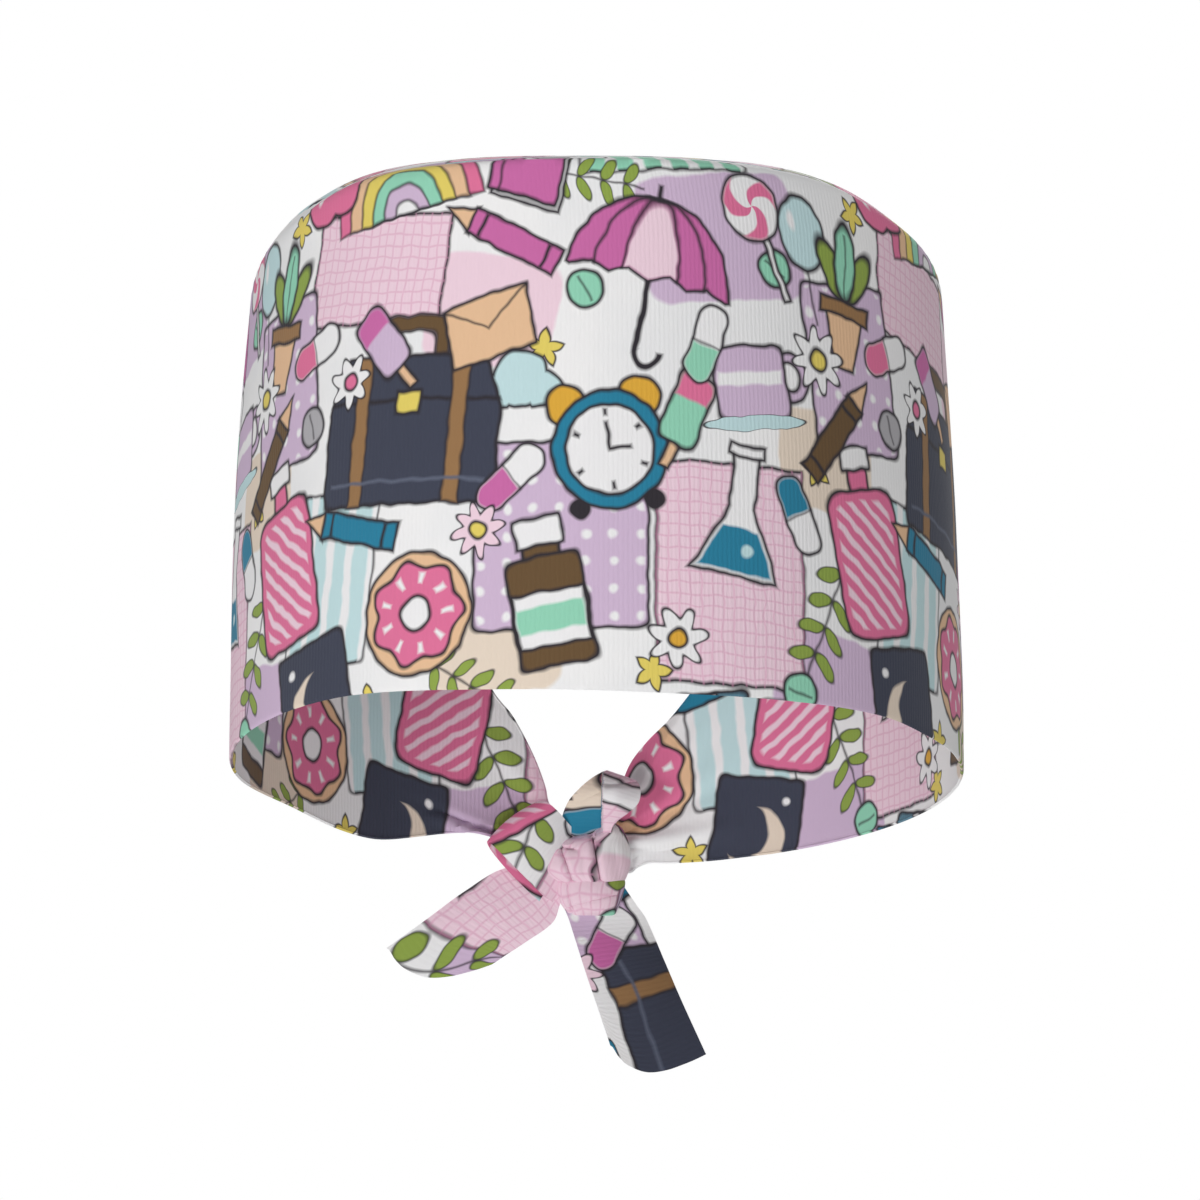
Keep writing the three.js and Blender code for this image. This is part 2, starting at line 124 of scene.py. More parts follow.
def ease(low, high, value):
    """0 below low, 1 above high, and smooth between."""
    t = min(max((value - low) / (high - low), 0), 1)
    return t * t * (3 - 2 * t)


def mix(a, b, share):
    return a + (b - a) * share


# %% Places on the wall and the crown
def half_depth(angle):
    return FRONT if math.cos(math.radians(angle)) > 0 else BACK


def plan(angle):
    a = math.radians(angle)
    return Vector((HALF_WIDTH * math.sin(a), -half_depth(angle) * math.cos(a)))


def lean(z):
    return 1 - WALL_LEAN * max(z, 0) ** 2


def sway(z):
    return -SWAY * ease(*SWAY_HEIGHTS, z)


def wall(angle, z):
    x, y = plan(angle) * lean(z)
    return Vector((x, y, z))


def wall_outward(angle):
    """Level direction that points straight out of the wall."""
    a = math.radians(angle)
    return Vector((math.sin(a) / HALF_WIDTH, -math.cos(a) / half_depth(angle), 0)).normalized()


def back_angle(x, z):
    return 180 - math.degrees(math.asin(x / (HALF_WIDTH * lean(z))))


def rim_plane(angle):
    return -plan(angle).y * math.tan(TILT)


def lower_edge(angle):
    return rim_plane(angle) + smooth(EDGE_LIFT, 1, angle)


def seam_height(angle):
    return smooth(SEAM, 1, abs(angle))


def crown_point(angle, reach):
    """reach is 0 at the top and 1 at the height of the seam."""
    base = seam_height(angle)
    point = TOP.lerp(wall(angle, base), reach)
    point.z = TOP.z - (TOP.z - base) * reach ** smooth(SEAM, 2, abs(angle))
    return point


def crown_reach(angle):
    if abs(angle) <= SEAM_END:
        return 1.0
    hem = smooth(HEM, 1, abs(angle))
    return ((TOP.z - hem) / (TOP.z - SEAM_END_HEIGHT)) ** (1 / SEAM_END_ROUNDNESS)


def lengths_along(points):
    """How far along a line of points each of them lies."""
    return [0, *accumulate((b - a).length for a, b in zip(points, points[1:]))]


CROWN_STEPS = 90


@cache
def crown_line(angle):
    """Reaches up one line of the crown, from its foot to the top, and how far up the cloth each lies."""
    foot = crown_reach(angle)
    reaches = [foot * (1 - k / CROWN_STEPS) for k in range(CROWN_STEPS + 1)]
    return reaches, lengths_along([crown_point(angle, reach) for reach in reaches])


def reach_at(angle, along):
    """The reach of the place so many millimetres up the crown from its foot."""
    reaches, lengths = crown_line(angle)
    k = min(bisect_right(lengths, along) - 1, CROWN_STEPS - 1)
    share = min((along - lengths[k]) / (lengths[k + 1] - lengths[k]), 1)
    return mix(reaches[k], reaches[k + 1], share)


def lap(angle):
    return smooth(LAP, 1, abs(angle))


# rounding of the corner between wall and top: share of the lap, and its most
ROUNDING_SHARE = 0.3
ROUNDING_MOST = 2.2
CORNER_WEIGHTS = (1, 4, 6, 4, 1)
NEARLY_SHARP = 0.05


def rounding(angle):
    """Half the length over which the corner between wall and top is rounded."""
    return min(ROUNDING_SHARE * lap(angle), ROUNDING_MOST)


def cap_point(angle, along):
    """A place on the wall or the crown. along is how far it lies up from the foot of the crown."""
    def sharp(s):
        return wall(angle, seam_height(angle) + s) if s < 0 else crown_point(angle, reach_at(angle, s))

    soft = rounding(angle)
    if abs(along) > 2 * soft:
        return sharp(along)
    taps = [sharp(along + soft * (k / 2 - 1)) * weight for k, weight in enumerate(CORNER_WEIGHTS)]
    return sum(taps, Vector((0, 0, 0))) / sum(CORNER_WEIGHTS)


# neighbours that give the crown's slope: degrees aside, and share of the reach
BESIDE = 0.5
INSIDE = 0.995


def crown_outward(angle, reach):
    point = crown_point(angle, reach)
    way = BESIDE if angle < 179 else -BESIDE
    beside = (crown_point(angle + way, reach) - point) * way
    inside = crown_point(angle, reach * INSIDE) - point
    return beside.cross(inside).normalized()


def cap_outward(angle, along):
    soft = rounding(angle)
    over = ease(-soft, soft, along) if soft > NEARLY_SHARP else float(along > 0)
    if not over:
        return wall_outward(angle)
    upward = crown_outward(angle, reach_at(angle, max(along, 0)))
    return wall_outward(angle).lerp(upward, over).normalized()


# distance round the oval from the middle of the forehead, at each degree
ROUND_THE_HEAD = lengths_along([plan(degree) for degree in range(181)])


def arc(angle):
    whole = min(int(abs(angle)), 179)
    return math.copysign(mix(*ROUND_THE_HEAD[whole : whole + 2], abs(angle) - whole), angle)


print("Round the head, outside the cloth:", round(2 * ROUND_THE_HEAD[180]), "mm")

# %% [markdown]
# ## A sheet of cloth
#
# Cloth is one thin curved sheet, so every piece starts as a grid. Its vertices are moved to their places on
# the form, its UV map holds the place on the flat printed cloth, and Solidify gives it its thickness. A
# cloth simulation was left out, because the folds have fixed places in the picture and vertex moves put
# them there exactly.

# %% The sheet helper
CLOTH = 0.6
# corners closer than this are joined, and edges flatter than this are shaded smooth
SAME_SPOT = 0.01
SMOOTH_BELOW = math.radians(60)


def cloth_sheet(name, columns, rows, place, print_place, inward=True):
    """A grid whose corners go to place(i, j), with the print at print_place(i, j)."""
    bpy.ops.mesh.primitive_grid_add(x_subdivisions=columns, y_subdivisions=rows, size=2)
    sheet = bpy.context.object
    sheet.name = sheet.data.name = name
    corners = [
        (round((v.co.x + 1) / 2 * columns), round((v.co.y + 1) / 2 * rows)) for v in sheet.data.vertices
    ]
    for vertex, (i, j) in zip(sheet.data.vertices, corners):
        vertex.co = place(i, j) * MM
    printed = [print_place(i, j) for i, j in corners]
    uv_map = sheet.data.uv_layers.active.data
    for loop in sheet.data.loops:
        uv_map[loop.index].uv = printed[loop.vertex_index]
    bpy.ops.object.mode_set(mode="EDIT")
    bpy.ops.mesh.select_all(action="SELECT")
    bpy.ops.mesh.remove_doubles(threshold=SAME_SPOT * MM)
    bpy.ops.object.mode_set(mode="OBJECT")
    wall_of_cloth = sheet.modifiers.new("Cloth", "SOLIDIFY")
    wall_of_cloth.thickness = CLOTH * MM
    wall_of_cloth.offset = -1 if inward else 0
    bpy.ops.object.modifier_apply(modifier=wall_of_cloth.name)
    bpy.ops.object.shade_smooth_by_angle(angle=SMOOTH_BELOW)
    bpy.ops.object.select_all(action="DESELECT")
    print(name, "has", len(sheet.data.polygons), "faces")
    return sheet


# %% [markdown]
# ## The band
#
# The band is the forehead, both sides and the two flaps. Each line across its cloth runs from the lower
# edge up to the seam, or to the free edge of a flap. At the front the wall's cloth bends over the shoulder
# before the crown is sewn to it, so the seam does not show from the front. The pull of the knot puts folds
# into the flaps, and those that the picture shows have their place, width and depth in a table.

# %% Lines across the band
FLAP_START = 150
# row, x and z of the free edge, x and z of the lower edge; the last rows lie inside the knot
LEFT_FLAP = [
    (0, 35.5, 43, 40.5, -9.9), (1, 27, 27.6, 33.5, -9.4), (2, 21.6, 20.7, 28, -10.3),
    (3, 16.5, 11.2, 23, -12), (4, 13.4, 3.2, 18.5, -14.2), (5, 12.2, -1.8, 15.5, -16.4),
    (6, 8.4, -8.2, 9.6, -17),
]
RIGHT_FLAP = [
    (0, 35.5, 43, 38, -15.8), (1, 30, 34, 31, -16.5), (2, 24.1, 26.5, 24.5, -16.9), (3, 18.7, 20, 19, -17.1),
    (4, 13.3, 14.8, 14.5, -17), (5, 9.1, 9.7, 12.4, -17.4), (6, 6.8, 4.2, 10.5, -18.3),
    (7, 5.8, -2.5, 8.6, -19.6), (8, 3.4, -8.6, 5.2, -19),
]
# from x, z to x, z, half width and depth. Minus is a valley seen from behind.
FOLDS = [
    (-52, 2, -15, -13.5, 2.4, -1.6), (-46, 13, -13, -7, 3.2, 1.3), (-34, 22, -12, -2, 2.6, -0.9),
    (34, 24, 8, -2, 2.6, -1.2), (42, 8, 9, -8, 3.2, 1.4), (44, -6, 10, -13, 2.4, -1.3),
    (-52, 0.6, -20, -12.4, 0.8, 3.4), (-52, -1.4, -20, -14.2, 1.2, -2.2), (36, -9, 12, -15, 0.8, 0.5),
]
BAND_STEP = 1.0
FLAP_STEPS = 10


def flap_lines(rows, side):
    """Angle and height of both ends of each line across a flap, and that it isn't sewn."""
    found = []
    for step in range((len(rows) - 1) * FLAP_STEPS + 1):
        edge_x, edge_z, low_x, low_z = (smooth(rows, column, step / FLAP_STEPS) for column in (1, 2, 3, 4))
        low_angle, edge_angle = side * back_angle(low_x, low_z), side * back_angle(edge_x, edge_z)
        found.append((low_angle, low_z, edge_angle, edge_z, False))
    return found


band_lines = flap_lines(LEFT_FLAP, -1)[::-1]
for step in range(round(2 * FLAP_START / BAND_STEP) + 1):
    at = -FLAP_START + step * BAND_STEP
    band_lines.append((at, lower_edge(at), at, seam_height(at), True))
band_lines += flap_lines(RIGHT_FLAP, 1)


# %% Folds, puckers and the turned edges of the band
EDGE_ROWS = (0, 0.3, 0.7, 1.5, 3)
MIDDLE_ROWS = 64
BAND_ROWS = MIDDLE_ROWS + 2 * (len(EDGE_ROWS) - 1)
# a line shorter than this squeezes its edge rows
SHORT_LINE = 24


def row_distance(j, height):
    """How far row j lies from the lower edge: the rows are close together at both edges."""
    squeeze = min(1, height / SHORT_LINE)
    last = len(EDGE_ROWS) - 1
    if j <= last:
        return EDGE_ROWS[j] * squeeze
    if j >= BAND_ROWS - last:
        return height - EDGE_ROWS[BAND_ROWS - j] * squeeze
    side = EDGE_ROWS[-1] * squeeze
    return mix(side, height - side, (j - last) / MIDDLE_ROWS)


# past its end a fold fades out by this share of its length
FOLD_FADED = 1.4


def fold_depth(folds, x, z, full_at=0.9):
    """Every fold starts flat and is at its deepest from the share full_at of its length on."""
    depth = 0
    for from_x, from_z, to_x, to_z, half_width, most in folds:
        run = Vector((to_x - from_x, to_z - from_z))
        off = Vector((x - from_x, z - from_z))
        along = off.dot(run) / run.length_squared
        aside = (off.x * run.y - off.y * run.x) / run.length
        fading = ease(0, full_at, along) * (1 - ease(1, FOLD_FADED, along))
        depth += most * fading * math.exp(-((aside / half_width) ** 2))
    return depth


# the right flap turns away past this line, from x, z to x, z, and this steeply
TURNED_EDGE = (25.6, 28, 9.4, -1)
TURNED_SLOPE = 1.1


def past_turned_edge(x, z):
    top_x, top_z, foot_x, foot_z = TURNED_EDGE
    if z > top_z or x < 0:
        return 0
    line = mix(foot_x, top_x, (z - foot_z) / (top_z - foot_z))
    return max(line - x, 0) * ease(foot_z - 8, foot_z + 2, z)


KNOT_PLACE = Vector((-2, -13))
GATHER_REACH = 30
# depth, pleats in a whole turn, and start of the fine pleats that spread from the knot
GATHERS = ((0.42, 17, 0.6), (0.25, 29, 0))


def gather_depth(x, z):
    off = Vector((x, z)) - KNOT_PLACE
    turn = math.atan2(off.y, abs(off.x))
    fading = math.exp(-((off.length / GATHER_REACH) ** 2))
    return fading * sum(deep * math.cos(pleats * turn + start) for deep, pleats, start in GATHERS)


# %% The band's cloth
# depth and width of what turns in at a hem and at the seam
HEM_EDGE = (0.4, 0.7)
SEAM_GROOVE = (0.9, 2)
# depth of the slow waves in the cloth, and pitch, depth and reach of the puckers under the seam
RIPPLE = 0.7
PUCKER_PITCH = 5.3
PUCKER_DEPTH = 0.2
PUCKER_REACH = 7


def turned_in(distance, deep, wide):
    return deep * max(1 - distance / wide, 0) ** 2


def band_spot(i, j):
    """Angle, height over the lower edge and whole height of one corner of the band's grid."""
    lower_angle, lower_z, upper_angle, upper_z, _ = band_lines[i]
    height = upper_z - lower_z + lap(upper_angle)
    up = row_distance(j, height)
    return mix(lower_angle, upper_angle, up / height), up, height


def band_place(i, j):
    angle, up, height = band_spot(i, j)
    _, lower_z, _, upper_z, sewn = band_lines[i]
    along, below_top = lower_z + up - upper_z, height - up
    point = cap_point(angle, along) if sewn else wall(angle, lower_z + up)
    out = cap_outward(angle, along) if sewn else wall_outward(angle)
    if point.y > 0:
        point.y += fold_depth(FOLDS, point.x, point.z) + gather_depth(point.x, point.z)
        point.y += past_turned_edge(point.x, point.z) * TURNED_SLOPE
    ripple = noise.noise(Vector((angle / 24, point.z / 60, 3.1))) * RIPPLE
    ripple *= ease(4, 30, up) * ease(0, 20, below_top)
    turned = turned_in(up, *HEM_EDGE) + turned_in(below_top, *(SEAM_GROOVE if sewn else HEM_EDGE))
    if sewn:
        pucker = math.sin(arc(angle) * 2 * math.pi / PUCKER_PITCH + 2 * math.sin(arc(angle) / 17))
        tall = PUCKER_DEPTH * (0.2 + ease(40, 90, abs(angle)))
        ripple += pucker * tall * math.exp(-below_top / PUCKER_REACH)
    point.x += sway(point.z)
    return point + out * (ripple - turned)


def band_print(i, j):
    angle, up, _ = band_spot(i, j)
    z = band_lines[i][1] + up
    turned_away = past_turned_edge(wall(angle, z).x, z) if angle > 90 else 0
    return arc(angle) + turned_away * (math.hypot(1, TURNED_SLOPE) - 1), z - rim_plane(angle)


band = cloth_sheet("band_cloth", len(band_lines) - 1, BAND_ROWS, band_place, band_print)

# %% [markdown]
# ## The crown
#
# The crown is one cloth too, so its grid is closed into a dome: the columns go round the head and the rows
# run from the seam, or from the free hem at the back, to the top, where they meet. Behind the ears this
# cloth is wider than the wall, and the seam gathers it into small pleats that fade over the back of the
# head.

# %% Crown
CROWN_COLUMNS = 300
CROWN_EDGE_ROWS = (*EDGE_ROWS, 5, 7.5, 10.5)
CROWN_ROWS = 46
# height, pitch and reach of the pleats, and the angles between which they begin
PLEAT = 1.4
PLEAT_PITCH = 7.1
PLEAT_REACH = 15
PLEATS_BEGIN = (62, 112)
# depth and size of the slow unevenness of the loose cloth
SLACK = 1.3
SLACK_SIZE = 46


def crown_row(i, j):
    """Angle of column i, and how far row j lies from the foot, from the sewn edge and from the top."""
    angle = -180 + 360 * i / CROWN_COLUMNS
    start, length = lap(angle), crown_line(angle)[1][-1]
    last = len(CROWN_EDGE_ROWS) - 1
    if j <= last:
        along = start + CROWN_EDGE_ROWS[j]
    else:
        along = mix(start + CROWN_EDGE_ROWS[-1], length, (j - last) / (CROWN_ROWS - last))
    return angle, along, along - start, length - along


def crown_pleats(angle, down):
    """Pleats of uneven width that start at the seam behind the ears and fade over the back."""
    around = arc(angle)
    uneven = 2.6 * math.sin(around / 23) + 1.1 * math.sin(around / 9.7)
    wave = math.sin(around * 2 * math.pi / PLEAT_PITCH + uneven)
    tall = ease(*PLEATS_BEGIN, abs(angle)) * (0.75 + 0.35 * math.sin(around / 31 + 1))
    return (wave * PLEAT + 0.45 * abs(wave)) * tall * math.exp(-down / PLEAT_REACH) * ease(0, 2.2, down)


def crown_place(i, j):
    angle, along, down, from_top = crown_row(i, j)
    point = cap_point(angle, along)
    aside = Vector((sway(point.z), 0, 0))
    if j == CROWN_ROWS:
        return point + aside
    slack = noise.noise(point / SLACK_SIZE + Vector((5, 2, 9))) * SLACK * ease(0, 14, down)
    slack *= ease(35, 75, abs(angle)) * ease(0, 25, from_top)
    raised = crown_pleats(angle, down) + slack - turned_in(down, *SEAM_GROOVE)
    return point + aside + cap_outward(angle, along) * raised


# how high the top of the crown lies on the print
TOP_PRINT = seam_height(0) - rim_plane(0) + crown_line(0)[1][-1]


def crown_print(i, j):
    """The print runs on from the band's in the middle of the forehead."""
    angle, _, _, from_top = crown_row(i, j)
    a = math.radians(angle)
    return from_top * math.sin(a), TOP_PRINT - from_top * math.cos(a)


crown = cloth_sheet("crown_cloth", CROWN_COLUMNS, CROWN_ROWS, crown_place, crown_print)

# %% [markdown]
# ## The bow
#
# Loops and tails are ribbons: the two long edges follow smooth curves through a few points, and the cloth
# between them bows a little towards the viewer. Each row of a table is one line across the ribbon, and the
# first and last rows of a loop lie inside the knot, where the cloth is held.

# %% Ribbon helper
def ribbon_curve(points):
    """A smooth curve through the points, of the centripetal Catmull-Rom kind."""
    ends = [points[0] * 2 - points[1], *points, points[-1] * 2 - points[-2]]

    def at(t):
        k = min(int(t * (len(points) - 1)), len(points) - 2)
        u = t * (len(points) - 1) - k
        p = ends[k : k + 4]
        gaps = [max((p[n + 1] - p[n]).length ** 0.5, 1e-4) for n in range(3)]
        first = (p[1] - p[0]) / gaps[0] - (p[2] - p[0]) / (gaps[0] + gaps[1]) + (p[2] - p[1]) / gaps[1]
        second = (p[2] - p[1]) / gaps[1] - (p[3] - p[1]) / (gaps[1] + gaps[2]) + (p[3] - p[2]) / gaps[2]
        first, second = first * gaps[1], second * gaps[1]
        return (
            p[1] + first * u + (p[2] * 3 - p[1] * 3 - first * 2 - second) * u**2
            + (p[1] * 2 - p[2] * 2 + first + second) * u**3
        )

    return at


RIBBON_STEPS = 12
RIBBON_ACROSS = 36
# how far a tail's cut end stands out, from edge a to edge b
END_CURVE = [(0, 0), (0.1, 0.46), (0.2, 0.77), (0.4, 1), (0.6, 0.84), (0.8, 0.47), (0.9, 0.25), (1, 0)]
# share of the tail's length at which the end begins
END_STARTS = 0.7


def ribbon(name, rows, print_start, end_reach=0, print_way=1, folds=(), shift=None, tuck=None):
    """rows hold x and z of edge a, x and z of edge b, y, and how far the middle bows to the camera side.

    folds are like those of the band, and shift moves a point once more. print_way is -1 for a print that is
    upside down, and tuck is the x of a sharp fold and the width of cloth that hides in it."""
    edge_a = ribbon_curve([Vector((ax, y, az)) for ax, az, bx, bz, y, bow in rows])
    edge_b = ribbon_curve([Vector((bx, y, bz)) for ax, az, bx, bz, y, bow in rows])
    bows = [(n, row[5]) for n, row in enumerate(rows)]
    columns = (len(rows) - 1) * RIBBON_STEPS
    last_line = edge_b(1) - edge_a(1)
    ahead = Vector((last_line.z, 0, -last_line.x)).normalized()
    lengths = lengths_along([(edge_a(i / columns) + edge_b(i / columns)) / 2 for i in range(columns + 1)])
    wide = (edge_a(0.5) - edge_b(0.5)).length

    def place(i, j):
        t, across = i / columns, j / RIBBON_ACROSS
        arch = 4 * across * (1 - across)
        point = edge_a(t).lerp(edge_b(t), across)
        point.y += fold_depth(folds, point.x, point.z) - smooth(bows, 1, t * (len(rows) - 1)) * arch
        if shift:
            point += shift(point.x, point.z, t, arch)
        return point + ahead * end_reach * smooth(END_CURVE, 1, across) * ease(END_STARTS, 1, t)

    def print_place(i, j):
        hidden = tuck[1] if tuck and place(i, j).x > tuck[0] else 0
        across = wide * j / RIBBON_ACROSS
        return print_start[0] + print_way * lengths[i] + hidden, print_start[1] - print_way * across

    return cloth_sheet(name, columns, RIBBON_ACROSS, place, print_place, inward=False)


# %% Loops and tails
LOOP_LEFT = [
    (-1.5, -12.5, -11.5, -27, 101, 0), (-4.6, -9.8, -13.8, -25.4, 99.5, 0.4),
    (-7.4, -6.9, -18.4, -20.8, 96.2, 1), (-10.2, -3.8, -23, -16.2, 93.6, 1.5),
    (-12.4, -2, -26.4, -12.9, 92.2, 1.2), (-14.6, -1.5, -27.9, -11.8, 93.8, 0.2),
    (-12.4, -2.4, -27.6, -13.2, 96, 0), (-10, -4.4, -24.2, -17.6, 97.2, 0), (-7, -7.4, -19.8, -22.2, 98.8, 0),
    (-4.5, -10.5, -14.6, -27, 101, 0), (-1, -14, -12, -28.4, 102.5, 0),
]
LOOP_RIGHT = [
    (-4, -12, 3, -12, 98.5, 0), (-8.8, -7, 4.4, -7.2, 97, 0.4), (-7.4, -1.6, 8, -4.2, 94, 1.2),
    (-4.6, 1.6, 10.6, -1.8, 92.2, 1.6), (-1.4, 4.3, 11.2, 0.6, 92.4, 1.2), (1.2, 5.9, 10.8, 2.8, 93.8, 0.4),
    (2.8, 6.4, 9.8, 4, 95.6, 0), (2.2, 5, 9.6, 2.4, 97.4, 0), (0.2, 1.4, 8.6, -0.8, 98.6, 0),
    (-2.6, -5.4, 5, -6.8, 99.2, 0), (-2, -11, 3, -11.5, 101, 0),
]
TAIL_LEFT = [
    (-8, -15, -4, -22.5, 101, 0), (-15.2, -18.2, -8.9, -26.6, 101, 0), (-23.9, -18.4, -11.2, -32, 101.8, 1),
    (-33.8, -24.1, -18.5, -37.3, 103, 1.6), (-43.6, -31.2, -23.6, -40.6, 104.2, 1.2),
    (-54.3, -38.8, -27.2, -42.8, 105.6, 0.4),
]
TAIL_RIGHT = [
    (-8.4, -22.6, 6, -21.6, 101, 0.5), (-8.2, -28.5, 10.2, -27.7, 101.4, 1),
    (-7, -32, 12.4, -30.8, 101.8, 1.6), (-2.5, -46.1, 17.4, -42.2, 102.8, 1.8),
    (0.6, -55.1, 21.2, -51, 103.6, 1.4), (3.6, -64, 28.2, -66.2, 104.8, 0.6),
]
ROUNDED_BY = Vector((-0.85, 0, 0.85))
FAR_END_LENGTH = 0.16
# the right loop's sharp fold: its x, the cloth that hides in it, and how far the lobe stands out
FOLD_X = 1.6
HIDDEN_IN_FOLD = -24
LOBE = 2.7
# how steeply the hanging tail turns its right edge away from the lamp
TAIL_TURN = 0.45


def outer_fold(x, z, t, arch):
    """The far end of the left loop is rounded towards the upper left."""
    return ROUNDED_BY * arch * math.exp(-(((t - 0.5) / FAR_END_LENGTH) ** 2))


def front_fold(x, z, t, arch):
    """Right of the sharp fold the cloth stands out as a lobe, which fades to the right and to both ends."""
    lobe = ease(FOLD_X - 0.25, FOLD_X + 0.2, x) * (1 - 0.8 * ease(FOLD_X + 2.4, 11, x))
    lobe *= (1 - ease(0.45, 0.6, t)) * ease(-13, -8, z) * (1 - 0.85 * ease(1.4, 3, z))
    return Vector((0, -LOBE * lobe, 0))


def tail_turn(x, z, t, arch):
    middle = mix(-1, 16, (z + 25) / -40)
    return Vector((0, TAIL_TURN * (x - middle) * ease(24, 40, -z), 0))


loop_left = ribbon("loop_left_cloth", LOOP_LEFT, (46, 38), shift=outer_fold)
TOP_CRUMPLE = [(0.6, 2.1, 9, 3.4, 0.45, 1.3), (-7, -2.6, 1.4, 1.2, 0.5, 0.5)]
loop_right = ribbon(
    "loop_right_cloth", LOOP_RIGHT, (43, 53),
    folds=TOP_CRUMPLE, shift=front_fold, tuck=(FOLD_X, HIDDEN_IN_FOLD),
)
tail_left = ribbon("tail_left_cloth", TAIL_LEFT, (19, 28), 5.9)
tail_right = ribbon("tail_right_cloth", TAIL_RIGHT, (-6, 42), 6, -1, shift=tail_turn)

# %% [markdown]
# ## The knot
#
# The knot is the tie wound once round the gathered cloth, with a narrower turn under it. Both are closed
# bands whose upper and lower edges curl in, so that no hollow shows between them and the ribbons. Creases
# across the front split the wrap into its soft lobes.

# %% Knot
KNOT_Y = 101
# z, left, right, half depth
WRAP = [
    (-22.4, -8.2, 5.4, 4.4), (-21.4, -9.6, 6.6, 5.4), (-20, -12.2, 7.3, 6.4), (-18.6, -13.7, 7.8, 7),
    (-16.6, -13.2, 8.2, 7.3), (-14, -12, 8.1, 7.1), (-12.4, -10.6, 7.8, 6.8), (-11, -7, 7.4, 6.2),
    (-9.6, -2.2, 6.8, 5.4), (-8.2, 0, 6, 4), (-7.2, 1.4, 5, 1.8),
]
UNDER_TURN = [(-30, -7.2, 4.5, 2.6), (-27, -8.8, 5.6, 4.4), (-24, -9.6, 6.5, 5), (-21.4, -9.4, 6.9, 4.6)]
KNOT_COLUMNS = 160
KNOT_ROWS = 40
# length of cloth round the knot, and share of the half height where the edges curl in
ROUND_THE_KNOT = 46
CURL_STARTS = 0.6


def knot_turn(name, outline, print_start, creases, curl_in):
    """A closed band round the knot, between the first and the last height of its outline."""
    low, high = outline[0][0], outline[-1][0]

    def place(i, j):
        turn = 2 * math.pi * (i / KNOT_COLUMNS - 0.5)
        across = 2 * j / KNOT_ROWS - 1
        z = mix(low, high, 0.5 + 0.5 * math.sin(across * math.pi / 2))
        left, right, depth = (smooth(outline, column, z) for column in (1, 2, 3))
        curl = (max(abs(across) - CURL_STARTS, 0) / (1 - CURL_STARTS)) ** 2
        front = math.cos(turn)
        x = (left + right) / 2 - (right - left) / 2 * math.sin(turn) * (1 - curl_in * curl)
        y = -depth * front * (1 - 0.75 * curl)
        y += fold_depth(creases, x, z, 0.3) * max(front, 0) ** 0.5
        return Vector((x, KNOT_Y + y, z))

    def print_place(i, j):
        around = ROUND_THE_KNOT * (0.5 - i / KNOT_COLUMNS)
        return print_start[0] + around, print_start[1] + (high - low) * (j / KNOT_ROWS - 0.5)

    return cloth_sheet(name, KNOT_COLUMNS, KNOT_ROWS, place, print_place)


WRAP_CREASES = [
    (-1.8, -7, 1.1, -22.7, 0.6, 4.2), (-9.8, -11.5, -6.4, -21, 0.5, 3.2), (-14.5, -12, -6.8, -13.5, 0.5, 2.8),
    (4, -12, 5.6, -20.5, 1.6, 0.5), (-3.6, -14, -2.6, -21, 1.4, 0.4),
]
UNDER_CREASES = [(7, -24.6, -7, -28.2, 0.4, 0.9), (-7.8, -20.5, -6.4, -29, 0.45, 1.6)]
knot_wrap = knot_turn("knot_wrap", WRAP, (-40, 106), WRAP_CREASES, 0.6)
knot_under_turn = knot_turn("knot_under_turn", UNDER_TURN, (44, 10), UNDER_CREASES, 0.12)

# %% [markdown]
# ## Shader maths as expressions
#
# The print is drawn by the material, so it needs hundreds of Math nodes. Wrapping a socket in a small class
# lets a line of Python say what they work out, such as a distance to a shape or a mask made from it.

# %% A number in a node tree
class Reading:
    """A socket of a node tree. Arithmetic on it adds Math nodes."""

    def __init__(self, tree, socket):
        self.tree, self.socket = tree, socket

    def node(self, kind, settings=None, inputs=None, output=0):
        """Adds a shader node, sets it up, and gives its inputs values or links."""
        made = self.tree.nodes.new("ShaderNode" + kind)
        for key, value in (settings or {}).items():
            if key == "stops":
                while len(made.color_ramp.elements) < len(value):
                    made.color_ramp.elements.new(1)
                for stop, (place, color) in zip(made.color_ramp.elements, value):
                    stop.position, stop.color = place, color
            else:
                setattr(made, key, value)
        for place, value in (inputs or {}).items():
            if isinstance(value, Reading):
                self.tree.links.new(value.socket, made.inputs[place])
            else:
                made.inputs[place].default_value = value
        return Reading(self.tree, made.outputs[output])

    def math(self, operation, *values, clamp=False):
        settings = {"operation": operation, "use_clamp": clamp}
        return self.node("Math", settings, dict(enumerate((self, *values))))

    def __add__(self, other):
        return self.math("ADD", other)

    def __sub__(self, other):
        return self.math("SUBTRACT", other)

    def __rsub__(self, other):
        return self.math("MULTIPLY_ADD", -1.0, other)

    def __mul__(self, other):
        return self.math("MULTIPLY", other)

    def __abs__(self):
        return self.math("ABSOLUTE")

    def times_plus(self, factor, added):
        return self.math("MULTIPLY_ADD", factor, added)


# %% [markdown]
# ## Drawing with distances
#
# A motif is drawn from distances: how many millimetres a point lies outside a disc, a bar or a pill. Inside
# is negative. A distance becomes a mask with a soft edge, and the mask lays one flat colour over the
# colours so far. Each motif repeats with the print, so its coordinates wrap round a tile.

# %% Colours and masks
def screen(red, green, blue):
    """A colour from its numbers on a screen, 0 to 255, as the shader wants it."""
    def linear(c):
        c /= 255
        return c / 12.92 if c <= 0.04045 else ((c + 0.055) / 1.055) ** 2.4
    return linear(red), linear(green), linear(blue), 1.0


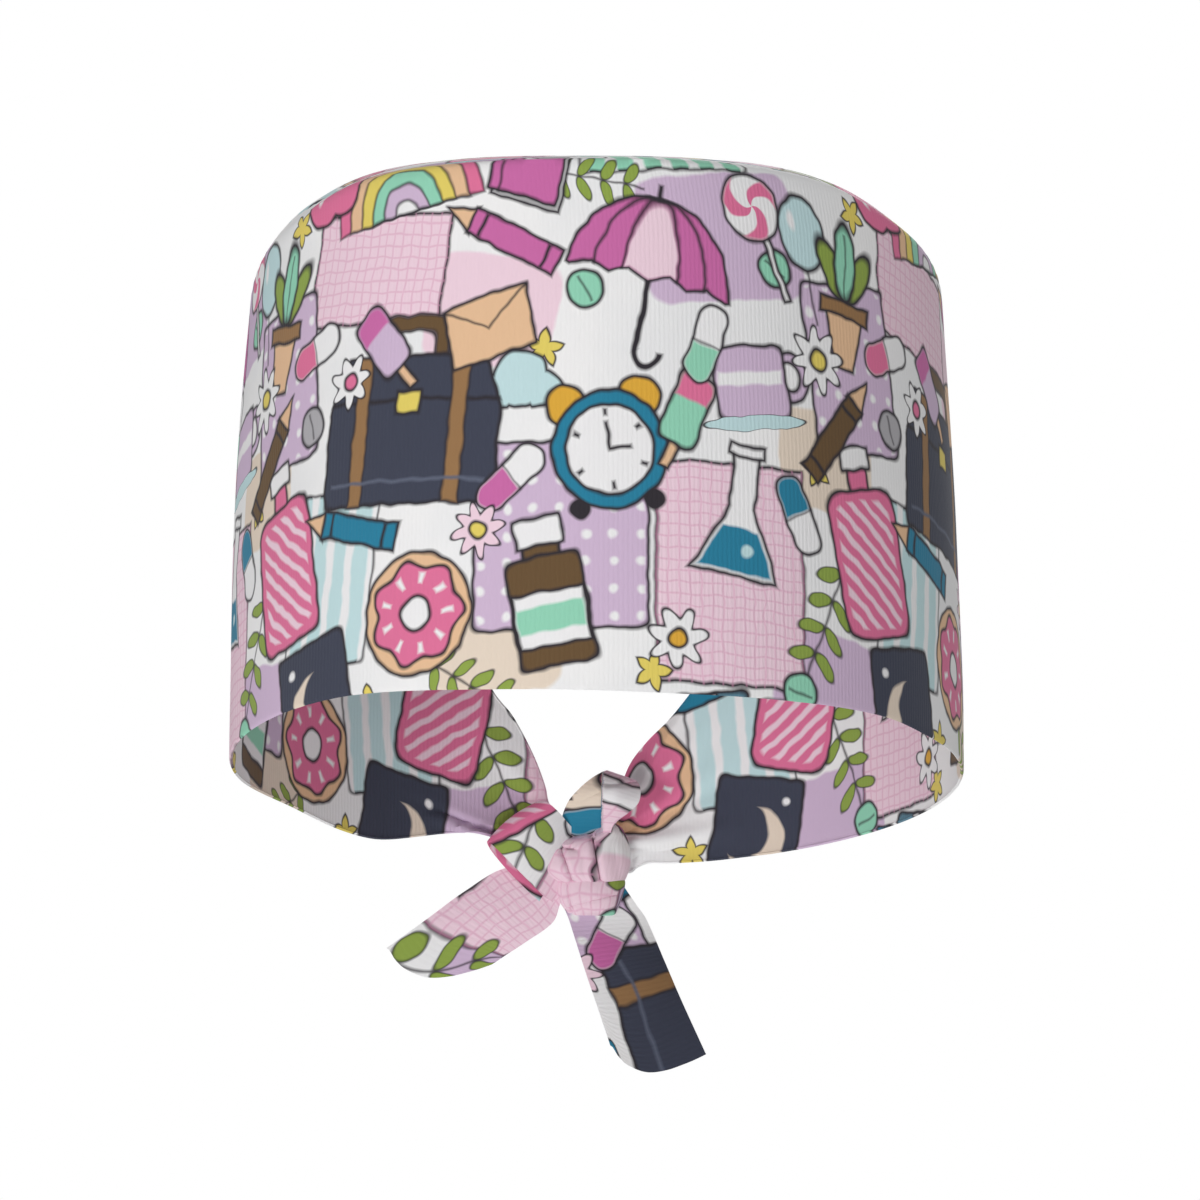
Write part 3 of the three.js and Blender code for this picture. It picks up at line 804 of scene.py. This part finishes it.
WHITE = screen(237, 236, 237)
INK = screen(48, 44, 50)
GREY = screen(172, 170, 174)
MAGENTA = screen(201, 106, 166)
HOT_PINK = screen(222, 114, 154)
PALE_PINK = screen(237, 208, 221)
ROSE = screen(214, 146, 180)
CREAM = screen(227, 211, 194)
PEACH = screen(228, 188, 150)
BROWN = screen(104, 80, 52)
TAN = screen(150, 114, 76)
NAVY = screen(62, 66, 82)
NAVY_LIGHT = screen(94, 100, 118)
LAVENDER = screen(206, 182, 209)
MINT = screen(146, 210, 182)
TEAL = screen(38, 126, 157)
STEEL = screen(86, 126, 144)
AQUA = screen(192, 220, 223)
YELLOW = screen(226, 206, 102)
OCHRE = screen(220, 168, 60)
OLIVE = screen(142, 164, 74)
TILE = 166
PRINT_BLUR = 0.8
INK_LINE = 0.46


class Print:
    """A point of the printed cloth: where it lies, and its colour so far."""

    def __init__(self, u, v, ground):
        self.u, self.v, self.colour = u, v, ground

    def spot(self, u, v, turn, size):
        """Coordinates in a motif's own frame, in millimetres from its middle."""
        across = self.u.math("WRAP", u + TILE / 2, u - TILE / 2)
        up = self.v.math("WRAP", v + TILE / 2, v - TILE / 2)
        c, s = math.cos(math.radians(turn)) / size, math.sin(math.radians(turn)) / size
        x = across.times_plus(c, up.times_plus(s, -u * c - v * s))
        y = up.times_plus(c, across.times_plus(-s, u * s - v * c))
        return x, y

    def fill(self, distance, colour, grow=0):
        mask = distance.math("MULTIPLY_ADD", -1 / PRINT_BLUR, 0.5 + grow / PRINT_BLUR, clamp=True)
        self.colour = mask.node("Mix", {"data_type": "RGBA"}, {0: mask, 6: self.colour, 7: colour}, output=2)

    def shape(self, distance, colour, line=INK_LINE):
        self.fill(distance, INK, line)
        self.fill(distance, colour, -line)

    def ink(self, body, distance, width):
        """A line of ink on a body, where the distance is nought."""
        self.fill(both(body, abs(distance)), INK, width)


def far_out(x, y):
    return x.times_plus(x, y * y).math("SQRT")


def disc(x, y, radius):
    return far_out(x, y) - radius


def oval(x, y, wide, tall):
    return disc(x, y * (wide / tall), wide)


def bar(x, y, wide, tall, soft=0):
    """A rectangle of these half sizes, with corners rounded by soft."""
    side, top = abs(x) - wide, abs(y) - tall
    return side.math("SMOOTH_MAX", top, soft) if soft else side.math("MAXIMUM", top)


def pill(x, y, half_length, radius):
    return disc((abs(x) - half_length).math("MAXIMUM", 0), y, radius)


def both(a, b):
    """Where both shapes are."""
    return a.math("MAXIMUM", b)


def either(a, b):
    """Where one of the shapes is."""
    return a.math("MINIMUM", b)


# %% Small motifs
def capsule(p, x, y, colour):
    body = pill(x, y, 6.4, 4.3)
    p.shape(body, WHITE)
    p.fill(both(body, x), colour, -INK_LINE)
    p.ink(body, x, 0.2)


def tablet(p, x, y, colour):
    body = disc(x, y, 4.6)
    p.shape(body, colour)
    p.ink(body + 1.6, x, 0.22)


def daisy(p, x, y, colour, petals=8, middle=YELLOW):
    angle = y.math("ARCTAN2", x)
    far = far_out(x, y)
    body = far - (angle * petals).math("COSINE").times_plus(1.7, 6.6)
    p.shape(body, colour)
    p.shape(far - 2.5, middle)


def star(p, x, y):
    angle = y.math("ARCTAN2", x)
    spike = (angle * (5 / math.pi)).math("PINGPONG", 1)
    p.shape(far_out(x, y) - spike.times_plus(-3.4, 6), YELLOW)


def cloud(p, x, y):
    puffs = either(disc(abs(x) - 7, y, 5.2), disc(x, y - 3.4, 7.6))
    p.shape(both(puffs, -4 - y), AQUA)


def sprig(p, x, y):
    out = abs(x)
    along = (y + 3.6).math("WRAP", 3.5, -3.5)
    leaf = oval((out - 3.6) * 0.72 - along * 0.5, along * 0.8 + out * 0.45 - 1.7, 3.4, 1.5)
    p.shape(both(leaf, abs(y) - 14), OLIVE, 0.3)
    p.fill(both(out - 0.3, abs(y + 1.5) - 13.5), INK)


def lollipop(p, x, y, colour):
    p.shape(bar(x, y + 15, 0.9, 8), WHITE)
    far = far_out(x, y)
    p.shape(far - 8, WHITE)
    swirl = (y.math("ARCTAN2", x).times_plus(3, far * 0.55)).math("SINE") * 2
    p.fill(both(far - 8, swirl), colour, -INK_LINE)


def envelope(p, x, y, colour):
    body = bar(x, y, 11, 7.5, 1)
    p.shape(body, colour)
    p.ink(body, y - abs(x) * 0.66, 0.3)


def book(p, x, y, colour, label):
    p.shape(bar(x - 1.2, y + 1.2, 9, 12), WHITE)
    body = bar(x, y, 9, 12, 1)
    p.shape(body, colour)
    p.ink(body, x + 6.2, 0.3)
    p.shape(bar(x - 1.2, y - 4, 4.6, 2.6, 0.6), label)


def balloon(p, x, y, colour):
    p.ink(abs(y + 15) - 6.5, x, 0.28)
    p.shape(oval(x, y, 7.2, 9), colour)
    p.fill(oval(x + 2.8, y - 3, 1, 2.4), WHITE)


def ice_lolly(p, x, y, colour, tip):
    p.shape(bar(x, y + 11, 1.3, 4), PEACH)
    body = bar(x, y, 4.8, 9, 4)
    p.shape(body, colour)
    p.fill(both(body, 2 - y), tip, -INK_LINE)


# %% Middle-sized motifs
def teacup(p, x, y, colour):
    p.shape(abs(disc(x - 11, y - 1, 4.6)) - 1.3, colour)
    p.shape(bar(x, y, 10, 8.6, 3.5), colour)
    p.fill(both(bar(x, y, 9, 8, 3), abs(y - 1) - 1.6), WHITE)
    p.shape(oval(x, y + 9.6, 14, 1.9), AQUA)


def apple(p, x, y, colour):
    p.shape(bar(x, y - 10, 0.5, 3), BROWN)
    p.shape(disc(abs(x) - 3.6, y, 7.4), colour)
    p.shape(oval(x - 4.6, y - 10.5, 4.2, 1.9), OLIVE)
    p.fill(oval(x + 6, y - 1.5, 1, 2.6), WHITE)


def bottle(p, x, y, colour, label, cap):
    p.shape(bar(x, y - 15.5, 4.6, 6, 1), colour)
    p.shape(bar(x, y, 9.2, 13, 3.4), colour)
    p.shape(bar(x, y - 19, 5.8, 3.4, 0.8), cap)
    p.shape(bar(x, y + 1.5, 8.8, 6.4), WHITE)
    p.fill(both(abs(x) - 8.2, abs(y + 1.5) - 3), label)


def warm_bottle(p, x, y, colour, light):
    p.shape(bar(x, y - 21, 3.4, 5), colour)
    p.shape(bar(x, y - 25, 5.2, 2.6, 1), WHITE)
    body = bar(x, y, 12.5, 17.5, 8)
    p.shape(body, colour)
    ribs = (x + y).math("PINGPONG", 2.6) - 1.1
    p.fill(both(body + 2.4, ribs), light)


def alarm_clock(p, x, y, colour):
    out = abs(x)
    p.shape(disc(out - 9, y - 11.5, 5), OCHRE)
    p.shape(disc(out - 9, y + 13, 2.2), INK)
    far = far_out(x, y)
    p.shape(far - 14, colour)
    p.shape(far - 10.6, WHITE)
    marks = (x.math("ARCTAN2", y) * (6 / math.pi)).math("PINGPONG", 1).times_plus(4.5, -0.5)
    p.fill(both(both(far - 9.6, 7.8 - far), marks), INK)
    p.fill(either(bar(x, y - 3.2, 0.5, 3.4), bar(x - 2.4, y, 2.8, 0.5)), INK)


def flask(p, x, y, colour):
    body = both(both((abs(x) + y * 0.5) * 0.9 - 4.6, abs(y) - 13), y.times_plus(-1, -12.4))
    glass = either(body, bar(x, y - 10, 3.2, 7))
    p.shape(glass, WHITE)
    p.fill(both(glass + 1, y + 1), colour)
    p.fill(disc(x - 2.5, y + 6, 1.5), AQUA)
    p.shape(bar(x, y - 17.6, 4.6, 1.3), WHITE)


def potted_plant(p, x, y):
    out = abs(x)
    c, s = 0.82, 0.57
    p.shape(oval(out * c - (y - 2) * s, out * s + (y - 2) * c - 8, 3.2, 8), OLIVE)
    p.shape(oval(x, y - 11.5, 3.6, 9.5), MINT)
    p.ink(abs(y - 10.5) - 7.5, x, 0.2)
    p.shape(both(out.times_plus(1, y * -0.22) - 6.6, abs(y + 7.5) - 7), PEACH)
    p.shape(bar(x, y + 0.2, 8.4, 2), TAN)


def crayon(p, x, y, colour, tip):
    p.shape(both(abs(x) + (y - 20) * 0.42, abs(y - 16) - 4.2), tip)
    body = bar(x, y, 3.2, 12.5)
    p.shape(body, colour)
    p.ink(body + 0.8, abs(y) - 9, 0.5)


# %% Large motifs
def umbrella(p, x, y):
    hook = both(abs(disc(x - 3.2, y + 19, 3.2)), y + 19)
    p.fill(either(hook, both(abs(x), abs(y + 8) - 11)), INK, 0.8)
    hem = (x + 20).math("PINGPONG", 5).times_plus(0.4, -2) - y
    dome = both(disc(x, y + 3, 21), hem)
    p.shape(dome, MAGENTA)
    middle = oval(x, y + 3, 7, 21)
    p.fill(both(dome, middle), PALE_PINK, -INK_LINE)
    p.ink(dome, middle, 0.35)
    p.ink(dome, oval(x, y + 3, 14.5, 21), 0.35)
    p.fill(bar(x, y - 19.5, 0.6, 2.2), INK)


def rainbow(p, x, y):
    far = far_out(x, y)
    rings = (23, HOT_PINK), (19, PEACH), (15, YELLOW), (11, MINT), (7, LAVENDER), (3.4, WHITE)
    for radius, colour in rings:
        p.shape(both(far - radius, y * -1), colour, 0.3)


def doctors_bag(p, x, y):
    out = abs(x)
    handle = abs(bar(x, y - 18, 8, 7, 4))
    p.fill(handle, BROWN, 1.9)
    p.fill(abs(handle - 1.9), INK, 0.4)
    body = both(bar(x, y, 25, 17.5, 5), out.times_plus(1, y * 0.4) - 27)
    p.shape(body, NAVY)
    p.ink(body, y - 7, 0.5)
    straps = both(body, abs(out - 14) - 2.1)
    p.fill(straps, INK, 0.4)
    p.fill(straps, TAN, -0.2)
    p.shape(bar(x, y - 6.4, 3.2, 2.6, 0.8), YELLOW)
    p.fill(both(body + 3, abs(y + 12)), NAVY_LIGHT, 0.4)


def doughnut(p, x, y):
    far = far_out(x, y)
    angle = y.math("ARCTAN2", x)
    p.shape(far - 14.5, PEACH)
    p.shape(far - 11.8 - (angle * 7).math("COSINE") * 0.9, HOT_PINK)
    crumbs = (angle * (9 / math.pi)).math("PINGPONG", 1).times_plus(3, -0.6)
    p.fill(both(abs(far - 8.4) - 1.3, crumbs), WHITE)
    p.shape(far - 4, WHITE)


def night_patch(p, x, y):
    p.shape(bar(x, y, 13, 18, 3), NAVY)
    p.fill(both(disc(x, y - 2, 8.5), 7.4 - far_out(x - 4, y - 4)), CREAM)
    for star_x, star_y, radius in ((-7.5, 12.5, 1.1), (9, -9.5, 1.4), (-4, -13, 0.9)):
        p.fill(disc(x - star_x, y - star_y, radius), WHITE)


# %% Patches of pattern under the motifs
CHECK_PITCH = 2.7


def gingham_patch(p, x, y, wide, tall):
    area = bar(x, y, wide, tall)
    p.shape(area, PALE_PINK)
    rows = x.math("PINGPONG", CHECK_PITCH / 2)
    columns = y.math("PINGPONG", CHECK_PITCH / 2)
    p.fill(both(area, either(rows, columns)), ROSE)


def dotted_patch(p, x, y, wide, tall):
    area = bar(x, y, wide, tall, 4)
    p.shape(area, LAVENDER)
    spots = disc(x.math("WRAP", 3.2, -3.2), y.math("WRAP", 3.2, -3.2), 1.1)
    p.fill(both(area + 1, spots), WHITE)


def wash(p, x, y, wide, tall, colour):
    """A loose patch of flat colour without an outline."""
    p.fill(bar(x, y, wide, tall, 9), colour)


def striped_patch(p, x, y, wide, tall, ground):
    area = bar(x, y, wide, tall, 3)
    p.shape(area, ground)
    p.fill(both(area, x.math("PINGPONG", 3.6) - 1.5), WHITE, -0.2)


# %% [markdown]
# ## The print
#
# The print is a busy collage: patches of pink check and lilac, and over them small drawn things with dark
# outlines, such as an umbrella, a bag, a clock, cups, bottles, plants, sweets and stars. A slow wobble of
# the coordinates makes the lines look drawn by hand.
#
# One material with every motif would be slow. So the tile is cut into square cells, and each cell gets its
# own material, which draws only the motifs that reach it.

# %% Layout of the print
# motif, place u and v, turn in degrees, size, then half sizes and colours. Later ones lie on top.
LAYOUT = [
    (wash, 34, 110, 8, 1, 22, 15, LAVENDER), (wash, -26, 92, -12, 1, 17, 13, PALE_PINK),
    (wash, -24, 12, 10, 1, 16, 12, CREAM), (wash, 62, 60, 0, 1, 15, 12, CREAM),
    (wash, 62, 6, -8, 1, 17, 13, LAVENDER), (wash, -34, 142, 0, 1, 24, 11, LAVENDER),
    (gingham_patch, 34, 30, 0, 1, 19, 26), (gingham_patch, -60, 106, -8, 1, 22, 13),
    (dotted_patch, -8, 38, 0, 1, 21, 22), (dotted_patch, 72, 84, 6, 1, 15, 20),
    (striped_patch, -72, 34, -6, 1, 15, 20, AQUA), (striped_patch, 20, 134, 4, 1, 22, 9, MINT),
    (star, -12, 82, 10, 0.8), (star, 58, 58, 30, 0.8), (star, 14, 6, 0, 0.8), (star, -38, 128, 20, 0.8),
    (star, 76, 122, 50, 0.8), (star, -58, 2, 15, 0.8), (tablet, -2, 96, 30, 1, MINT),
    (tablet, 52, 4, 75, 1, MINT), (tablet, -80, 72, 20, 1, GREY), (tablet, 48, 104, 60, 1, MINT),
    (sprig, 60, 22, -24, 1), (sprig, -30, 4, 60, 0.8), (sprig, 2, 122, 80, 0.8), (cloud, -18, 72, 0, 0.9),
    (cloud, 56, 138, 0, 0.9), (rainbow, -50, 118, 6, 1), (umbrella, 14, 100, -12, 1),
    (doctors_bag, -48, 66, -5, 1), (alarm_clock, 4, 58, 8, 1, TEAL),
    (warm_bottle, 76, 38, 12, 1, HOT_PINK, PALE_PINK), (teacup, 40, 76, 8, 1, LAVENDER),
    (envelope, -26, 88, 14, 1, PEACH), (book, -14, 130, -18, 1, MAGENTA, WHITE),
    (book, 62, 150, 24, 1, TEAL, PALE_PINK), (balloon, 57, 114, 8, 1, AQUA),
    (ice_lolly, 23, 68, -24, 1, MINT, HOT_PINK), (ice_lolly, -56, 88, 40, 1, LAVENDER, MAGENTA),
    (flask, 36, 42, -8, 1, TEAL), (bottle, -10, 20, 10, 1, BROWN, MINT, WHITE), (doughnut, -44, 22, 0, 1),
    (potted_plant, 70, 98, -6, 1), (apple, -76, 128, 12, 1, HOT_PINK), (night_patch, -76, 2, 10, 1),
    (bottle, 26, -8, -80, 1, STEEL, PALE_PINK, TEAL), (crayon, -20, 108, 62, 1, MAGENTA, PEACH),
    (crayon, 64, 66, -40, 1, BROWN, PEACH), (crayon, -62, 44, 74, 1, TEAL, PEACH),
    (lollipop, 42, 118, 24, 1, HOT_PINK), (capsule, -20, 52, 40, 0.9, MAGENTA),
    (capsule, 52, 46, -65, 0.9, TEAL), (capsule, -80, 90, 20, 0.9, HOT_PINK),
    (capsule, 28, 84, 70, 0.9, MINT), (capsule, -4, 134, -15, 0.9, GREY), (daisy, 60, 84, 10, 1, WHITE),
    (daisy, -28, 40, 10, 0.8, PALE_PINK), (daisy, 20, 14, 10, 0.9, WHITE, 7, OCHRE),
    (daisy, -66, 80, 10, 0.8, WHITE, 7, HOT_PINK), (daisy, -56, 150, 10, 0.9, PALE_PINK),
    (teacup, -24, 153, -10, 1, HOT_PINK), (capsule, 6, 154, 35, 0.9, TEAL), (star, 30, 158, 10, 0.8),
]
# how far each motif reaches from its middle; a patch reaches to its corners
REACH = {
    star: 6.5, tablet: 5.1, sprig: 16, cloud: 12.7, rainbow: 23.4, umbrella: 23.5, doctors_bag: 29,
    balloon: 22, alarm_clock: 20.2, warm_bottle: 28.5, teacup: 18.5, flask: 20, bottle: 23.5, doughnut: 15,
    apple: 14.5, potted_plant: 21.5, night_patch: 22, crayon: 20.6, lollipop: 23.5, capsule: 11.2,
    daisy: 8.8, book: 17, envelope: 13.6, ice_lolly: 15.5,
}
CELLS = 5
CELL = TILE / CELLS
# how far outlines and the wobble take a motif past its reach
SPARE = 3.5


def touches(line, cell):
    """Whether a line of the layout can show in a cell of the repeating tile."""
    motif, u, v, turn, size, *looks = line
    reach = REACH[motif] if motif in REACH else math.hypot(*looks[:2])

    def gap(at, index):
        off = at - (index + 0.5) * CELL
        return abs((off + TILE / 2) % TILE - TILE / 2) - CELL / 2

    return max(gap(u, cell[0]), gap(v, cell[1])) < reach + SPARE


# %% [markdown]
# ## The finish of the cloth
#
# The cloth is a thin, matt cotton blend. Very fine ribs run up the wall, a little uneven from thread to
# thread, and show only as a soft bump. The print changes the colour alone, and a trace of sheen stands for
# the short fibres that catch the light at the edges.

# %% Printed cotton
FINISH = {"Sheen Weight": 0.12, "Sheen Roughness": 0.5, "Specular IOR Level": 0.22, "Roughness": 0.86}
FLAT_NOISE = {"noise_dimensions": "2D"}
# how far the wobble pushes the drawn lines, and the distance from rib to rib
WOBBLE = 1.5
RIB_PITCH = 1.15


@cache
def printed_cotton(cell):
    material = bpy.data.materials.new("printed cotton %d %d" % cell)
    material.use_nodes = True
    tree = material.node_tree
    shader = tree.nodes["Principled BSDF"]
    for name, value in FINISH.items():
        shader.inputs[name].default_value = value

    start = Reading(tree, None)
    uv = start.node("UVMap", {"uv_map": "UVMap"})
    wobble = uv.node("TexNoise", FLAT_NOISE, {"Vector": uv, "Scale": 0.16, "Detail": 1}, 1)
    push = {0: wobble, 1: (WOBBLE, WOBBLE, 0), 2: uv}
    drawn = wobble.node("VectorMath", {"operation": "MULTIPLY_ADD"}, push)
    across = drawn.node("SeparateXYZ", None, {0: drawn})
    up = Reading(tree, across.socket.node.outputs[1])
    tone = uv.node("TexNoise", FLAT_NOISE, {"Vector": uv, "Scale": 0.03, "Detail": 3})
    whites = [(0.35, screen(234, 234, 235)), (0.65, screen(240, 239, 239))]
    ground = tone.node("ValToRGB", {"stops": whites}, {0: tone})
    cotton = Print(across, up, ground)
    near = [line for line in LAYOUT if touches(line, cell)]
    for motif, u, v, turn, size, *looks in near:
        motif(cotton, *cotton.spot(u, v, turn, size), *looks)
    tree.links.new(cotton.colour.socket, shader.inputs["Base Color"])

    flat = uv.node("SeparateXYZ", None, {0: uv})
    ribs = (flat * (2 * math.pi / RIB_PITCH)).math("SINE")
    stretched = uv.node("Mapping", None, {0: uv, 3: (2.2, 0.5, 1)})
    threads = uv.node("TexNoise", FLAT_NOISE, {"Vector": stretched, "Scale": 1, "Detail": 2})
    height = ribs.times_plus(0.3, threads)
    bump = height.node("Bump", None, {"Strength": 0.22, "Distance": 0.0003, "Height": height})
    tree.links.new(bump.socket, shader.inputs["Normal"])
    print(material.name, "draws", len(near), "motifs with", len(tree.nodes), "nodes")
    return material


# %% The cells of the print on a piece
def print_on(piece):
    """Gives each face the material of the cell of the print that it lies in."""
    piece.data.materials.clear()
    slots = {}
    uv_map = piece.data.uv_layers.active.data
    for face in piece.data.polygons:
        middle = sum((uv_map[n].uv for n in face.loop_indices), Vector((0, 0))) / face.loop_total
        cell = tuple(int(c // CELL) % CELLS for c in middle)
        if cell not in slots:
            slots[cell] = len(slots)
            piece.data.materials.append(printed_cotton(cell))
        face.material_index = slots[cell]


# %% [markdown]
# ## Finish every piece
#
# Each piece of cloth takes the printed cotton, rides on the cap's only body and stands for its CAD solid.
# The flat sizes are those of the cut cloth: the band is a long strip, the crown an oval with a straight
# back, and the ties are strips that were folded and sewn.

# %% Dress, ride and replace
PIECES = [
    (band, "band", "band_cloth"),
    (crown, "crown", "crown_cloth"),
    (knot_wrap, "tie_knot", "tie_cloth"),
    (knot_under_turn, "tie_knot", "tie_cloth"),
    (loop_left, "tie_loop_left", "tie_cloth"),
    (loop_right, "tie_loop_right", "tie_cloth"),
    (tail_left, "tie_tail_left", "tie_cloth"),
    (tail_right, "tie_tail_right", "tie_cloth"),
]
for piece, node, slot in PIECES:
    print_on(piece)
    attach(piece, "root")
    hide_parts(node)

# %% [markdown]
# ## Floor and light
#
# The cap is held up as on a head, so the pale floor lies well below it. The light is a soft studio: a large
# lamp in front and to the left, low enough to shine in under the forehead, a weaker one close to the
# camera, one from above, one from behind, and a surround that is white to the eye but lights the cap less.

# %% Floor
FLOOR_Z = -1.0
bpy.ops.mesh.primitive_plane_add(size=30, location=(0, 0, FLOOR_Z))
floor = bpy.context.object
floor.name = "floor"
floor_paint = bpy.data.materials.new("pale floor")
floor_paint.use_nodes = True
floor_tree = floor_paint.node_tree
floor_shader = floor_tree.nodes["Principled BSDF"]
floor_shader.inputs["Roughness"].default_value = 0.9
floor_tone = Reading(floor_tree, None).node("TexNoise", None, {"Scale": 0.6, "Detail": 2})
floor_whites = [(0.3, screen(240, 240, 240)), (0.7, screen(246, 246, 245))]
floor_colour = floor_tone.node("ValToRGB", {"stops": floor_whites}, {0: floor_tone})
floor_tree.links.new(floor_colour.socket, floor_shader.inputs["Base Color"])
floor.data.materials.append(floor_paint)


# %% Lamps and surround
# every lamp points at the middle of the cap
LIT_PLACE = Vector((0, 0, 0.04))


def soft_lamp(name, place, power, size):
    bpy.ops.object.light_add(type="AREA", location=place)
    lamp = bpy.context.object
    lamp.name = name
    lamp.data.energy = power
    lamp.data.shape = "DISK"
    lamp.data.size = size
    lamp.rotation_euler = (LIT_PLACE - Vector(place)).to_track_quat("-Z", "Y").to_euler()


soft_lamp("key", (-1.5, -1.6, -0.65), 22, 0.9)
soft_lamp("fill", (0.5, -2.0, -0.35), 8.5, 0.9)
soft_lamp("top", (0.15, -1.0, 1.9), 10, 1.2)
soft_lamp("back", (0.25, 1.9, 0.9), 20, 1.0)

# strength of the surround as light, against 1 as it is seen
SURROUND = 0.29
world = bpy.data.worlds.new("studio")
bpy.context.scene.world = world
world.use_nodes = True
background = world.node_tree.nodes["Background"]
background.inputs["Color"].default_value = (1, 1, 1, 1)
seen = Reading(world.node_tree, None).node("LightPath")
brightness = seen.times_plus(1 - SURROUND, SURROUND)
world.node_tree.links.new(brightness.socket, background.inputs["Strength"])
bpy.context.scene.view_settings.view_transform = "Standard"
